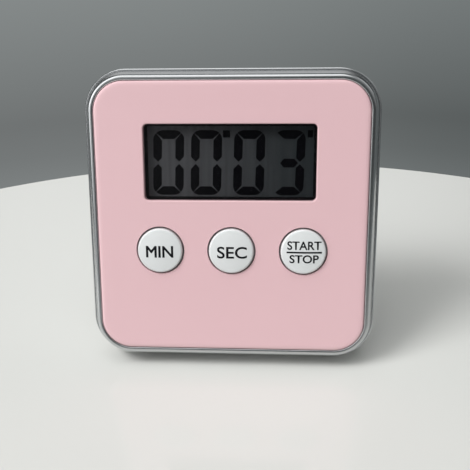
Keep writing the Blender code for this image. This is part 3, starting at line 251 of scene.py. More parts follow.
brass = surface("brass_disc", (0.72, 0.55, 0.26), 0.3, 1.0, gloss=(0.24, 0.4, 700))
fired = surface(
    "fired_ceramic", (0.74, 0.72, 0.66), 0.5, tones=((0.70, 0.68, 0.62), (0.77, 0.75, 0.69), 800)
)
wire_red = surface("red_sleeve", (0.50, 0.03, 0.03), 0.42, gloss=(0.36, 0.5, 900))
wire_black = surface("black_sleeve", (0.02, 0.02, 0.02), 0.42, gloss=(0.36, 0.5, 900))
jacket = surface("cell_jacket_blue", (0.02, 0.05, 0.14), 0.25, 0.35, gloss=(0.2, 0.32, 500))
jacket_band = surface("cell_jacket_copper", (0.55, 0.25, 0.10), 0.28, 0.8, gloss=(0.22, 0.34, 500))


# Shape helpers


def put(name, data):
    made = bpy.data.objects.new(name, data)
    bpy.context.scene.collection.objects.link(made)
    return made


def drop(made):
    mesh = made.data
    bpy.data.objects.remove(made)
    bpy.data.meshes.remove(mesh)


def sheet(name, bm):
    mesh = bpy.data.meshes.new(name)
    bm.to_mesh(mesh)
    bm.free()
    return put(name, mesh)


def solid(name, bm):
    bmesh.ops.recalc_face_normals(bm, faces=bm.faces)
    return sheet(name, bm)


def bake(made):
    """Turns a piece and its modifiers into a plain mesh."""
    bpy.context.view_layer.update()
    graph = bpy.context.evaluated_depsgraph_get()
    final = made.evaluated_get(graph)
    mesh = bpy.data.meshes.new_from_object(final, preserve_all_data_layers=True, depsgraph=graph)
    old = made.data
    made.modifiers.clear()
    made.data = mesh
    bpy.data.meshes.remove(old)


def arc(centre, radius, first, last, steps):
    """Points (inset, depth) on an arc; 0 degrees points outwards, 90 back, -90 to the front."""
    points = []
    for i in range(steps + 1):
        angle = math.radians(first + (last - first) * i / steps)
        points.append((centre[0] - radius * math.cos(angle), centre[1] + radius * math.sin(angle)))
    return points


def rounded(left, right, low, high, radius, depth, steps=CORNER_STEPS):
    """A rectangle with round corners, as a loop of points at one depth."""
    corners = (
        (right - radius, high - radius, 0),
        (left + radius, high - radius, 90),
        (left + radius, low + radius, 180),
        (right - radius, low + radius, 270),
    )
    loop = []
    for x, z, first in corners:
        for i in range(steps + 1):
            angle = math.radians(first + 90 * i / steps)
            loop.append((x + radius * math.cos(angle), depth, z + radius * math.sin(angle)))
    return loop


def outline(inset, depth):
    """The timer's outline, drawn in by the inset."""
    half = WIDTH / 2 - inset
    return rounded(-half, half, inset, HEIGHT - inset, CORNER - inset, depth)


def loft(name, loops):
    bm = bmesh.new()
    rings = [[bm.verts.new(point) for point in loop] for loop in loops]
    for first, second in zip(rings, rings[1:]):
        for i in range(len(first)):
            j = (i + 1) % len(first)
            bm.faces.new((first[i], first[j], second[j], second[i]))
    bm.faces.new(rings[0])
    bm.faces.new(rings[-1])
    return solid(name, bm)


def lathe(name, profile, centre, steps=96, along="Y"):
    """Turns a profile of (radius, distance) about an axis through centre."""
    bm = bmesh.new()
    rings = []
    for radius, run in profile:
        ring = []
        for i in range(steps if radius > 0 else 1):
            angle = 2 * math.pi * i / steps
            a, b = radius * math.cos(angle), radius * math.sin(angle)
            point = (a, run, b) if along == "Y" else (run, a, b)
            ring.append(bm.verts.new(Vector(centre) + Vector(point)))
        rings.append(ring)
    for first, second in zip(rings, rings[1:]):
        for i in range(steps):
            j = (i + 1) % steps
            corners = [first[i % len(first)], first[j % len(first)]]
            corners += [second[j % len(second)], second[i % len(second)]]
            unique = list(dict.fromkeys(corners))
            if len(unique) > 2:
                bm.faces.new(unique)
    return solid(name, bm)


def box(name, low, high):
    bm = bmesh.new()
    bmesh.ops.create_cube(bm, size=1)
    low, high = Vector(low), Vector(high)
    bmesh.ops.scale(bm, vec=high - low, verts=bm.verts)
    bmesh.ops.translate(bm, vec=(low + high) / 2, verts=bm.verts)
    return solid(name, bm)


def boxes(corners):
    return [box(name, *pair) for name, pair in corners.items()]


def cylinder(start, end, radius):
    return [(0, start), (radius, start), (radius, end), (0, end)]


def drums(name, radius, places, start, end, steps=48):
    """Cylinders along the depth, one at each (x, z) place."""
    profile = cylinder(start, end, radius)
    return [lathe(name, profile, (x, 0, z), steps) for x, z in places]


def axle(name, radius, place_at, reach, steps=48):
    """A cylinder across the width at a (depth, z) place, with the same reach to both sides."""
    return lathe(name, cylinder(-reach, reach, radius), (0, *place_at), steps, "X")


def combine(target, operation, others):
    for other in others:
        change = target.modifiers.new("combine", "BOOLEAN")
        change.object = other
        change.operation = operation
        change.solver = "EXACT"
    bake(target)
    for other in others:
        drop(other)
    return target


def cut(target, *others):
    return combine(target, "DIFFERENCE", others)


def add(target, *others):
    return combine(target, "UNION", others)


def soften(made, width=0.0):
    """Merges points that lie on each other and, with a width, rounds the edges."""
    nearest = 0.004
    bm = bmesh.new()
    bm.from_mesh(made.data)
    bmesh.ops.remove_doubles(bm, verts=bm.verts, dist=nearest)
    bmesh.ops.dissolve_degenerate(bm, edges=bm.edges, dist=nearest)
    bm.to_mesh(made.data)
    bm.free()
    if width:
        edge = made.modifiers.new("edge", "BEVEL")
        edge.width = width
        edge.segments = 2
        edge.limit_method = "ANGLE"
        edge.angle_limit = math.radians(40)
        edge.use_clamp_overlap = True
        bake(made)
    return made


def place(made, mat, body, replaces=(), smooth=30, even=True):
    """Sets a shape where the CAD stands, shades it and lets it ride on its body.

    Edges sharper than smooth, in degrees, stay sharp; even keeps the flat faces' shading flat.
    """
    mesh = made.data
    mesh.transform(PLACE)
    # Rounding errors in the lean may not put a point below the table
    for vertex in mesh.vertices:
        vertex.co.z = max(vertex.co.z, 0.0)
    mesh.materials.clear()
    mesh.materials.append(mat)
    mesh.shade_smooth()
    mesh.set_sharp_from_angle(angle=math.radians(smooth))
    if even:
        weigh = made.modifiers.new("even_normals", "WEIGHTED_NORMAL")
        weigh.keep_sharp = True
        weigh.weight = 90
        bake(made)
    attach(made, body)
    if replaces:
        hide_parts(*replaces)


# Node trees for what follows a path or repeats


def new_tree(name, sizes):
    """An empty tree with a named input for each size, and its input sockets by name."""
    tree = bpy.data.node_groups.new(name, "GeometryNodeTree")
    tree.interface.new_socket("Geometry", in_out="INPUT", socket_type="NodeSocketGeometry")
    tree.interface.new_socket("Geometry", in_out="OUTPUT", socket_type="NodeSocketGeometry")
    for label, kind in {**sizes, "Finish": "Material"}.items():
        tree.interface.new_socket(label, in_out="INPUT", socket_type=f"NodeSocket{kind}")
    start = tree.nodes.new("NodeGroupInput")
    return tree, {socket.name: socket for socket in start.outputs if socket.name}


def end_tree(tree, sizes, shape):
    whole = step(tree, "GeometryNodeRealizeInstances", {"Geometry": shape})
    done = step(tree, "GeometryNodeSetMaterial", {"Geometry": whole, "Material": sizes["Finish"]})
    tree.links.new(done, tree.nodes.new("NodeGroupOutput").inputs["Geometry"])
    return tree


def stand_up(tree, sizes, shape):
    """Turns what was made lying down into the face plane and moves it to its centre."""
    given = {"Geometry": shape, "Translation": sizes["Centre"], "Rotation": (math.pi / 2, 0, 0)}
    return step(tree, "GeometryNodeTransform", given)


def shape_of(tree, source):
    """The geometry of an object that the tree is given."""
    return step(tree, "GeometryNodeObjectInfo", {"Object": source}, "Geometry")


def grow(name, tree, given, points=(), edges=()):
    """Runs a tree on the points it is given and keeps the result as a plain mesh."""
    mesh = bpy.data.meshes.new(name)
    mesh.from_pydata([tuple(point) for point in points], edges, [])
    made = put(name, mesh)
    run = made.modifiers.new("grow", "NODES")
    run.node_group = tree
    for item in tree.interface.items_tree:
        if item.in_out == "INPUT" and item.name in given:
            run[item.identifier] = given[item.name]
    bake(made)
    bm = bmesh.new()
    bm.from_mesh(made.data)
    bmesh.ops.remove_doubles(bm, verts=bm.verts, dist=0.0005)
    bmesh.ops.recalc_face_normals(bm, faces=bm.faces)
    bm.to_mesh(made.data)
    bm.free()
    return made


def swept_frame_tree():
    """A section, drawn as a closed line, follows a square path with round corners."""
    labels = {"Width": "Float", "Height": "Float", "Corner Radius": "Float"}
    labels.update({"Corner Steps": "Int", "Centre": "Vector"})
    tree, sizes = new_tree("swept_frame", labels)
    given = {"Width": sizes["Width"], "Height": sizes["Height"]}
    path = step(tree, "GeometryNodeCurvePrimitiveQuadrilateral", given)
    given = {"Curve": path, "Radius": sizes["Corner Radius"], "Count": sizes["Corner Steps"]}
    path = step(tree, "GeometryNodeFilletCurve", {"mode": "POLY", **given})
    section = step(tree, "GeometryNodeMeshToCurve", {"Mesh": sizes["Geometry"]})
    skin = step(tree, "GeometryNodeCurveToMesh", {"Curve": path, "Profile Curve": section})
    return end_tree(tree, sizes, stand_up(tree, sizes, skin))


def set_in_places_tree():
    """A piece stands at every point, turned at random about its own axis up to a limit."""
    labels = {"Piece": "Object", "Most Turn": "Float", "Seed": "Int"}
    tree, sizes = new_tree("set_in_places", labels)
    # Input 3 and output 1 are the limit and the value of the random turn as a plain number
    given = {"data_type": "FLOAT", 3: sizes["Most Turn"], "Seed": sizes["Seed"]}
    turn = step(tree, "FunctionNodeRandomValue", given, 1)
    about = step(tree, "ShaderNodeCombineXYZ", {"Y": turn})
    about = step(tree, "FunctionNodeEulerToRotation", {"Euler": about})
    piece = shape_of(tree, sizes["Piece"])
    given = {"Points": sizes["Geometry"], "Instance": piece, "Rotation": about}
    return end_tree(tree, sizes, step(tree, "GeometryNodeInstanceOnPoints", given))


def ring_of_holes_tree():
    """A hole in the middle and a circle of holes round it, as plugs for cutting."""
    labels = {"Holes": "Int", "Circle Radius": "Float", "Hole Radius": "Float"}
    labels.update({"Depth": "Float", "Centre": "Vector"})
    tree, sizes = new_tree("ring_of_holes", labels)
    given = {"Vertices": sizes["Holes"], "Radius": sizes["Circle Radius"]}
    circle = step(tree, "GeometryNodeMeshCircle", given)
    middle = step(tree, "GeometryNodeMeshLine", {"Count": 1})
    spots = tree.nodes.new("GeometryNodeJoinGeometry")
    for part in (circle, middle):
        tree.links.new(part, spots.inputs["Geometry"])
    given = {"Vertices": 24, "Radius": sizes["Hole Radius"], "Depth": sizes["Depth"]}
    plug = step(tree, "GeometryNodeMeshCylinder", given)
    given = {"Points": spots.outputs["Geometry"], "Instance": plug}
    plugs = step(tree, "GeometryNodeInstanceOnPoints", given)
    return end_tree(tree, sizes, stand_up(tree, sizes, plugs))


def row_of_bars_tree():
    """Equal bars in a row, for cutting the grip of the battery door."""
    labels = {"Bars": "Int", "Pitch": "Vector", "Bar Size": "Vector", "First": "Vector"}
    tree, sizes = new_tree("row_of_bars", labels)
    given = {"Count": sizes["Bars"], "Start Location": sizes["First"], "Offset": sizes["Pitch"]}
    line = step(tree, "GeometryNodeMeshLine", given)
    bar = step(tree, "GeometryNodeMeshCube", {"Size": sizes["Bar Size"]})
    row = step(tree, "GeometryNodeInstanceOnPoints", {"Points": line, "Instance": bar})
    return end_tree(tree, sizes, row)


def row_of_digits_tree():
    """Noughts stand at the first points and another digit at the rest; the whole row leans."""
    labels = {"Nought": "Object", "Last": "Object", "Noughts": "Int"}
    labels.update({"Base": "Float", "Slant": "Float"})
    tree, sizes = new_tree("row_of_digits", labels)
    order = step(tree, "GeometryNodeInputIndex", {})
    row = tree.nodes.new("GeometryNodeJoinGeometry")
    for key, operation in (("Nought", "LESS_THAN"), ("Last", "GREATER_EQUAL")):
        # Inputs 2 and 3 are the two whole numbers
        given = {"data_type": "INT", "operation": operation, 2: order, 3: sizes["Noughts"]}
        chosen = step(tree, "FunctionNodeCompare", given)
        given = {"Points": sizes["Geometry"], "Selection": chosen}
        given["Instance"] = shape_of(tree, sizes[key])
        digits = step(tree, "GeometryNodeInstanceOnPoints", given)
        tree.links.new(digits, row.inputs["Geometry"])
    whole = step(tree, "GeometryNodeRealizeInstances", {"Geometry": row.outputs["Geometry"]})
    where = step(tree, "GeometryNodeInputPosition", {})
    height = step(tree, "ShaderNodeSeparateXYZ", {"Vector": where}, "Z")
    above = step(tree, "ShaderNodeMath", {"operation": "SUBTRACT", 0: height, 1: sizes["Base"]})
    shift = step(tree, "ShaderNodeMath", {"operation": "MULTIPLY", 0: above, 1: sizes["Slant"]})
    shift = step(tree, "ShaderNodeCombineXYZ", {"X": shift})
    leaning = step(tree, "GeometryNodeSetPosition", {"Geometry": whole, "Offset": shift})
    return end_tree(tree, sizes, leaning)


SWEPT_FRAME = swept_frame_tree()
SET_IN_PLACES = set_in_places_tree()
RING_OF_HOLES = ring_of_holes_tree()
ROW_OF_BARS = row_of_bars_tree()
ROW_OF_DIGITS = row_of_digits_tree()


def sweep_frame(name, section, bounds, radius, finish, steps):
    """Sweeps a section of (inset, depth) points round a rectangle (left, right, low, high)."""
    left, right, low, high = bounds
    count = len(section)
    given = {
        "Width": float(right - left),
        "Height": float(high - low),
        "Corner Radius": float(radius),
        "Corner Steps": steps,
        "Centre": ((left + right) / 2, 0.0, (low + high) / 2),
        "Finish": finish,
    }
    points = [(-inset, depth, 0) for inset, depth in section]
    return grow(name, SWEPT_FRAME, given, points, [(i, (i + 1) % count) for i in range(count)])


def set_in_places(name, piece, places, finish, most_turn=0.0, seed=0):
    """Copies of a piece at the (x, z) places, as one mesh; the pattern piece goes."""
    given = {"Piece": piece, "Most Turn": float(most_turn), "Seed": seed, "Finish": finish}
    made = grow(name, SET_IN_PLACES, given, [(x, 0, z) for x, z in places])
    drop(piece)
    return made


# Silver ring


def make_ring():
    """Lip, wide front edge, sloped flank, fine groove, bead and back wall, as one closed skin."""
    inner, seat, back, slope = 2.74, 1.6, 5.2, 19.4
    lip = [(inner, 0.62), (2.73, 0.42), (2.69, 0.30)]
    front_edge = arc((2.3, 1.19), 1.0, -108, -slope, 18)
    groove = [(0.46, 3.44), (0.44, 3.54), (0.40, 3.59), (0.34, 3.59)]
    bead = arc((0.2704, 3.6867), 0.12, -100, -58, 5)
    bead += arc((0.8427, 4.6026), 1.2, -58, -48, 4)[1:]
    bead += arc((0.12, 3.80), 0.12, -48, 0, 5)[1:]
    wall = [(0.0, 5.05), (0.05, 5.15), (0.15, back), (1.8, back), (1.8, seat), (inner, seat)]
    section = lip + front_edge + groove + bead + wall
    bounds = (-WIDTH / 2, WIDTH / 2, 0, HEIGHT)
    ring = sweep_frame("ring_satin", section, bounds, CORNER, silver, steps=48)
    place(ring, silver, "case", ("frame_ring",), smooth=35, even=False)


# Pink panel


# Depths where the cutters of the window and the button holes start and end
FACE_CUT = (-1.0, 6.0)


def window_tool():
    start, end = FACE_CUT
    flare = [(0.34, start), (0.34, -0.02), (0.22, 0.02), (0.10, 0.09), (0.03, 0.18), (0.0, 0.32)]
    left, right, low, high = WINDOW
    loops = [
        rounded(left - m, right + m, low - m, high + m, 1.0 + m, depth, 10)
        for m, depth in [*flare, (0.0, end)]
    ]
    return loft("window_tool", loops)


def hole_tool(x):
    start, end = FACE_CUT
    hole = 5.80
    flare = [(5.95, start), (5.95, -0.02), (5.88, 0.015), (5.83, 0.06), (5.81, 0.12), (hole, 0.2)]
    return lathe("hole_tool", [(0, start), *flare, (hole, end), (0, end)], (x, 0, BUTTON_Z))


def make_panel():
    """The face slab with its pillowed edge, its rim behind the ring, window, holes and posts."""
    edge, rim = 2.78, 2.1
    pillow = [(4.35, 0.0), (3.9, 0.008), (3.55, 0.035), (3.25, 0.09), (3.02, 0.18), (2.87, 0.32)]
    sides = [(edge, 0.52), (edge, 1.9), (rim, 1.9), (rim, 2.8), (4.2, 2.8), (4.2, 1.6)]
    panel = loft("panel_pink", [outline(*point) for point in pillow + sides])
    add(panel, *drums("post", 2.4, CASE_SCREWS, 1.2, 8.7))
    cut(panel, window_tool(), *[hole_tool(x) for x in BUTTONS.values()])
    place(soften(panel), pink, "case", ("front_panel",))


# Buttons and printed words


CROWN_RADIUS, CROWN_EDGE, CROWN_RISE = 4.9, 0.7, 0.35


def crown_height(radius):
    """How far a button's rounded top stands in front of the face."""
    return CROWN_EDGE + CROWN_RISE * (1 - (radius / CROWN_RADIUS) ** 2)


def make_buttons():
    radii = [CROWN_RADIUS * share for share in (0, 0.15, 0.3, 0.45, 0.6, 0.72, 0.84, 0.93, 1)]
    crown = [(radius, -crown_height(radius)) for radius in radii]
    edge = [(5.02, -0.68), (5.16, -0.62), (5.28, -0.52), (5.36, -0.38), (5.4, -0.2)]
    flange = [(5.4, 1.9), (6.4, 1.9), (6.4, 2.5), (1.8, 2.5), (1.8, 3.1), (0, 3.1)]
    for name, x in BUTTONS.items():
        cap = lathe(f"cap_{name}", crown + edge + flange, (x, 0, BUTTON_Z), steps=120)
        place(cap, button_white, f"button_{name}", (f"button_{name}",), smooth=40)


def make_domes():
    """Rubber domes between the caps and the board, which on the real timer buckle as their buttons
    go in; here each keeps one shape.
    """
    outer = [(0, 3.4), (2.3, 3.4), (2.5, 3.43), (2.66, 3.52)]
    outer += [(4.1, 4.70), (4.3, 4.8), (5.1, 4.8), (5.2, 4.86)]
    inner = [(5.2, 5.3), (3.8, 5.3), (2.2, 3.98), (2.05, 3.9), (0, 3.9)]
    for name, x in BUTTONS.items():
        dome = lathe(f"dome_{name}", outer + inner, (x, 0, BUTTON_Z), steps=64)
        place(dome, rubber_pale, "case", (f"rubber_dome_{name}",))
        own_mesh(dome)


def thicken(bm, weight):
    """Moves the outline of flat letters outwards, so that their strokes are wider."""
    straight, longest = 0.3, 2.2
    bmesh.ops.remove_doubles(bm, verts=bm.verts, dist=1e-5)
    outwards = {}
    for edge in bm.edges:
        if len(edge.link_faces) != 1:
            continue
        loop = edge.link_loops[0]
        along = loop.link_loop_next.vert.co - loop.vert.co
        side = along.cross(edge.link_faces[0].normal).normalized()
        for vert in edge.verts:
            outwards.setdefault(vert, []).append(side)
    for vert, sides in outwards.items():
        total = sum(sides, Vector())
        if len(sides) == 2 and total.length > straight:
            vert.co += total.normalized() * weight * min(2 / total.length, longest)


def word_mesh(text, width, height, x, z, weight):
    """Flat lettering scaled to its printed width and cap height, standing in the face plane."""
    curve = bpy.data.curves.new("word", "FONT")
    curve.body = text
    curve.align_x = "LEFT"
    curve.size = 1
    curve.resolution_u = 6
    guide = put("word", curve)
    bpy.context.view_layer.update()
    final = guide.evaluated_get(bpy.context.evaluated_depsgraph_get())
    mesh = bpy.data.meshes.new_from_object(final)
    bpy.data.objects.remove(guide)
    bm = bmesh.new()
    bm.from_mesh(mesh)
    bpy.data.meshes.remove(mesh)
    thicken(bm, weight)
    xs = sorted(v.co.x for v in bm.verts)
    ys = sorted(v.co.y for v in bm.verts)
    for v in bm.verts:
        across = x + (v.co.x - xs[0]) / (xs[-1] - xs[0]) * width - width / 2
        up = z + (v.co.y - ys[0]) / (ys[-1] - ys[0]) * height - height / 2
        v.co = Vector((across, 0, up))
    return bm


def print_on_crown(name, bm, button):
    """Cuts the flat print small, lays it on the button's crown and gives it an ink's thickness."""
    centre_x = BUTTONS[button]
    pitch, raised = 0.5, 0.012
    for axis, middle, reach in (((1, 0, 0), centre_x, 5), ((0, 0, 1), BUTTON_Z, 4)):
        at = middle - reach
        while at < middle + reach:
            everything = bm.verts[:] + bm.edges[:] + bm.faces[:]
            bmesh.ops.bisect_plane(bm, geom=everything, plane_co=Vector(axis) * at, plane_no=axis)
            at += pitch
    bmesh.ops.remove_doubles(bm, verts=bm.verts, dist=0.001)
    for v in bm.verts:
        radius = math.hypot(v.co.x - centre_x, v.co.z - BUTTON_Z)
        v.co.y = -crown_height(radius) - raised
    made = solid(name, bm)
    layer = made.modifiers.new("ink", "SOLIDIFY")
    layer.thickness = 0.03
    layer.offset = 0
    bake(made)
    place(made, ink, f"button_{button}", smooth=60)


# Piece, word, width, cap height, centre (x, z), added stroke, button
WORDS = (
    ("print_minutes", "MIN", 6.60, 2.86, -17.24, 27.64, 0.023, "minutes"),
    ("print_seconds", "SEC", 7.15, 2.90, 0.20, 27.58, 0.014, "seconds"),
    ("print_start", "START", 8.10, 2.08, 17.42, 29.45, 0.018, "start_stop"),
    ("print_stop", "STOP", 6.95, 2.02, 17.40, 26.16, 0.018, "start_stop"),
)
# Corners (x, z) of the line between START and STOP
PRINT_BAR = ((13.22, 27.58), (21.58, 27.58), (21.58, 27.98), (13.22, 27.98))


def make_words():
    for name, *letters, button in WORDS:
        print_on_crown(name, word_mesh(*letters), button)
    bm = bmesh.new()
    bm.faces.new([bm.verts.new((x, 0, z)) for x, z in PRINT_BAR])
    print_on_crown("print_bar", bm, "start_stop")


# Display


DIGIT_WIDTH, DIGIT_HEIGHT, DIGIT_ROUND, STROKE, SEGMENT_GAP = 7.35, 15.4, 2.3, 2.05, 0.42
DIGIT_BASE, DIGIT_SLANT = 40.95, 0.03
DIGIT_CENTRES = (-15.1, -6.05, 4.15, 13.6)
# Left and right edges of the small marks, and the lower and upper edge of both
DISPLAY_MARKS = ((-2.0, -0.35), (17.9, 19.1))
MARK_LOW, MARK_HIGH = 54.65, 56.3
LIT = {"0": "abcdef", "3": "abcdg"}
# Depth of the segments' front, and their thickness
SEGMENT_FRONT, SEGMENT_THICKNESS = 2.77, 0.025


def corner_arc(cx, cz, first, last, steps=6):
    angles = [math.radians(first + (last - first) * i / steps) for i in range(steps + 1)]
    return [(cx + DIGIT_ROUND * math.cos(a), cz + DIGIT_ROUND * math.sin(a)) for a in angles]


def segment_outlines():
    """The seven bars of a digit, with the round outer corners split on the diagonal."""
    w, h, s, r = DIGIT_WIDTH, DIGIT_HEIGHT, STROKE, DIGIT_ROUND
    mid = h / 2
    # A gap across a diagonal, measured upright, and how far the bars' ends slope
    gap = SEGMENT_GAP * 0.7
    slant, tip, nose, shoulder = s * 0.42, s * 0.55, s * 0.62, s * 1.05

    def mirror_x(points):
        return [(w - x, z) for x, z in points]

    def mirror_z(points):
        return [(x, h - z) for x, z in points]

    top = corner_arc(r, h - r, 134, 90) + corner_arc(w - r, h - r, 90, 46)
    top += [(w - s - gap, h - s), (s + gap, h - s)]
    upper_left = corner_arc(r, h - r, 180, 136)
    upper_left += [(s, h - s - gap), (s, mid + slant + gap)]
    upper_left += [(tip, mid + gap), (0, mid + slant + gap * 2)]
    middle = [
        (nose + gap, mid),
        (shoulder + gap, mid + s / 2),
        (w - shoulder - gap, mid + s / 2),
        (w - nose - gap, mid),
        (w - shoulder - gap, mid - s / 2),
        (shoulder + gap, mid - s / 2),
    ]
    return {
        "a": top,
        "b": mirror_x(upper_left),
        "c": mirror_x(mirror_z(upper_left)),
        "d": mirror_z(top),
        "e": mirror_z(upper_left),
        "f": upper_left,
        "g": middle,
    }


def flat_bars(name, polygons):
    """Closed thin plates of the given (x, z) outlines, as thick as a printed segment."""
    bm = bmesh.new()
    for polygon in polygons:
        front, back = [
            [bm.verts.new((x, depth, z)) for x, z in polygon] for depth in (0.0, SEGMENT_THICKNESS)
        ]
        bm.faces.new(front)
        bm.faces.new(back)
        for i in range(len(polygon)):
            j = (i + 1) % len(polygon)
            bm.faces.new((front[i], front[j], back[j], back[i]))
    return solid(name, bm)


def make_display():
    """Dark segments and marks on the front glass, and a black border behind the lens."""
    shapes = segment_outlines()
    digits = {}
    for digit, lit in LIT.items():
        bars = [[(x - DIGIT_WIDTH / 2, z) for x, z in shapes[key]] for key in lit]
        digits[digit] = flat_bars(f"digit_{digit}", bars)
    given = {"Nought": digits["0"], "Last": digits["3"], "Noughts": 3, "Finish": segment_black}
    given.update({"Base": DIGIT_BASE + DIGIT_HEIGHT / 2, "Slant": DIGIT_SLANT})
    points = [(centre, SEGMENT_FRONT, DIGIT_BASE) for centre in DIGIT_CENTRES]
    row = grow("display_digits", ROW_OF_DIGITS, given, points)
    for shape in digits.values():
        drop(shape)
    place(row, segment_black, "case")

    marks = [
        [(left, MARK_LOW), (right, MARK_LOW), (right, MARK_HIGH), (left, MARK_HIGH)]
        for left, right in DISPLAY_MARKS
    ]
    small = flat_bars("display_marks", marks)
    small.data.transform(Matrix.Translation((0, SEGMENT_FRONT, 0)))
    place(small, segment_black, "case")

    reach, wide, corner, front, back = 1.5, 2.1, 2.3, 2.56, 2.66
    left, right, low, high = WINDOW
    bounds = (left - reach, right + reach, low - reach, high + reach)
    section = [(0, front), (wide, front), (wide, back), (0, back)]
    border = sweep_frame("display_border", section, bounds, corner, lens_edge, steps=8)
    place(border, lens_edge, "case", smooth=38)


# Back cover, door and stand


# Depth in the rear wall where what stays in the hollow ends, and where cutters end behind the
# back and beyond the right side
IN_WALL, BEHIND, BESIDE = 17, 18, 80

# Low and high corners of the blocks that stay in the cover's hollow
COVER_BLOCKS = {
    "door_pad": ((-28.3, 11.7, 3.8), (BESIDE, IN_WALL, 22.4)),
    "stand_pad": ((-13.2, 11.6, 21.66), (13.2, IN_WALL, 63.74)),
    "hinge_block": ((-14.4, 9.8, 21.66), (14.4, IN_WALL, 30.3)),
}
BAY_SHELL = ((-26.4, 1.9, 6.6), (26.4, 12.8, 19.6))
# Low and high corners of what is cut from the cover
COVER_CUTS = {
    "bay": ((-25.4, 2.9, 7.6), (25.4, BEHIND, 18.6)),
    "door_recess": ((-26.8, 13.9, 6.0), (BESIDE, BEHIND, 20.2)),
    "door_groove": ((-22.8, 13.9, 5.3), (BESIDE, 15.3, 20.9)),
    "stand_recess": ((-11.6, 13.2, 22.463), (11.6, BEHIND, 62.136)),
    "hinge_pocket": ((-11.6, 11.4, 22.463), (11.6, BEHIND, 28.7)),
}
DOOR_BLANK = ((-26.5, 14.2, 6.3), (33.0, 20, 19.9))
DOOR_TONGUES = ((-22.5, 14.2, 5.6), (29.0, 15.0, 20.6))
DOOR_GRIP = {
    "Bars": 5,
    "Pitch": (1.8, 0, 0),
    "Bar Size": (0.9, 2.5, 8.4),
    "First": (-22.55, 16.75, 13.1),
}


def case_skin(name):
    """The outside of the case behind the ring, with its rear fillet."""
    fillet, inset = 4.0, 0.15
    section = [(2.1, 3.1), (2.1, 5.5), (0.32, 5.5), (0.2, 5.55), (inset, 5.7)]
    section += arc((inset + fillet, DEPTH - fillet), fillet, 0, 90, 12)
    return loft(name, [outline(*point) for point in section])


def make_cover():
    """A hollow shell with bosses, pads and battery bay, cut for all that sits in its back."""
    cover = case_skin("cover_white")
    walls = [(3.3, 2.0), (3.3, 6.5), (1.95, 7.85)]
    rear_fillet = arc((4.15, 11.8), 2.2, 0, 90, 6)
    hollow = loft("hollow", [outline(*point) for point in walls + rear_fillet])
    kept = drums("boss", 3.3, CASE_SCREWS, 9.0, IN_WALL)
    kept += drums("pad", 6.7, MAGNETS, 12.5, IN_WALL)
    kept += drums("seat", 8.6, [SOUNDER], 9.6, IN_WALL)
    cut(hollow, *kept, *boxes(COVER_BLOCKS))
    cut(cover, hollow)
    add(cover, box("bay_shell", *BAY_SHELL))
    tools = boxes(COVER_CUTS)
    tools.append(axle("pin_bore", 1.0, HINGE, 14.2, steps=24))
    tools += drums("scoop", 4.2, [(0, 61.84)], 14.4, BEHIND)
    tools += drums("sounder", 7.8, [SOUNDER], 9, 11.6)
    tools += drums("hole", 1.2, CASE_SCREWS, 8, BEHIND, steps=24)
    tools += drums("bore", 2.4, CASE_SCREWS, 11.5, BEHIND)
    tools += drums("magnet", 5.3, MAGNETS, 13.7, BEHIND)
    holes = {"Holes": 6, "Circle Radius": 3.0, "Hole Radius": 0.7, "Depth": 4.0}
    holes.update({"Centre": (SOUNDER[0], 12.4, SOUNDER[1]), "Finish": case_white})
    cut(cover, *tools, grow("sound_holes", RING_OF_HOLES, holes))
    place(soften(cover, 0.12), case_white, "case", ("back_cover",))


def make_door():
    door = box("door_white", *DOOR_BLANK)
    combine(door, "INTERSECT", [case_skin("skin")])
    add(door, box("tongues", *DOOR_TONGUES))
    cut(door, grow("grip_bars", ROW_OF_BARS, {**DOOR_GRIP, "Finish": stand_white}))
    place(soften(door, 0.12), stand_white, "battery_door", ("battery_door",))


def make_stand():
    """Built folded about its hinge axis, as in the CAD, and then opened."""
    half, front, back = 11.2, -0.2, 2.0
    reach_in, reach_out = 35.4359, 33.2359
    blank = [rounded(-half, half, -20, reach_in + 1.0, 4.0, depth, 10) for depth in (front, back)]
    leg = loft("stand_white", blank)
    cut(leg, box("below", (-20, -5, -40), (20, 5, 0)))
    add(leg, axle("barrel", 2.0, (0, 0), half))
    dish = [rounded(-8.2, 8.2, 5.0, reach_out - 3, 2.0, depth, 8) for depth in (1.2, 3.0)]
    foot = box("slab", (-20, -30, 0), (20, 30, 30))
    slope = math.atan2(reach_in - reach_out, back - front)
    foot.data.transform(Matrix.Translation((0, back, reach_out)) @ Matrix.Rotation(-slope, 4, "X"))
    cut(leg, axle("bore", 1.0, (0, 0), 12), loft("dish", dish), foot)
    soften(leg, 0.15)
    opened = Matrix.Rotation(-math.radians(120), 4, "X")
    leg.data.transform(Matrix.Translation((0, *HINGE)) @ opened)
    place(leg, stand_white, "stand", ("stand",))


# Screws, magnets and the cell


def make_screws():
    """One countersunk cross-head screw, set four times with its cross at any angle."""
    head = [(0, 13.2), (1.1, 13.18), (1.6, 13.05), (1.95, 12.75), (2.1, 12.4), (2.1, 11.8)]
    shaft = [(0.95, 11.8), (0.95, 4.4), (0.35, 3.6), (0, 3.6)]
    screw = lathe("screw", head + shaft, (0, 0, 0), steps=48)
    long, narrow = 1.1, 0.22
    halves = ((long, narrow), (narrow, long))
    cross = [box("slot", (-a, 12.5, -b), (a, 15, b)) for a, b in halves]
    soften(cut(screw, *cross))
    screws = set_in_places("case_screws", screw, CASE_SCREWS, steel, math.pi / 2, seed=4)
    nodes = [f"case_screw_{i + 1}" for i in range(len(CASE_SCREWS))]
    place(screws, steel, "case", nodes)


def make_magnets():
    front = [(0, 14.0), (4.85, 14.0), (5.0, 14.15)]
    back = [(5.0, 15.75), (4.93, 15.92), (4.75, DEPTH), (0, DEPTH)]
    disc = lathe("disc", front + back, (0, 0, 0), steps=72)
    discs = set_in_places("magnets", disc, MAGNETS, magnet_metal)
    place(discs, magnet_metal, "case", ("magnet_left", "magnet_right"))


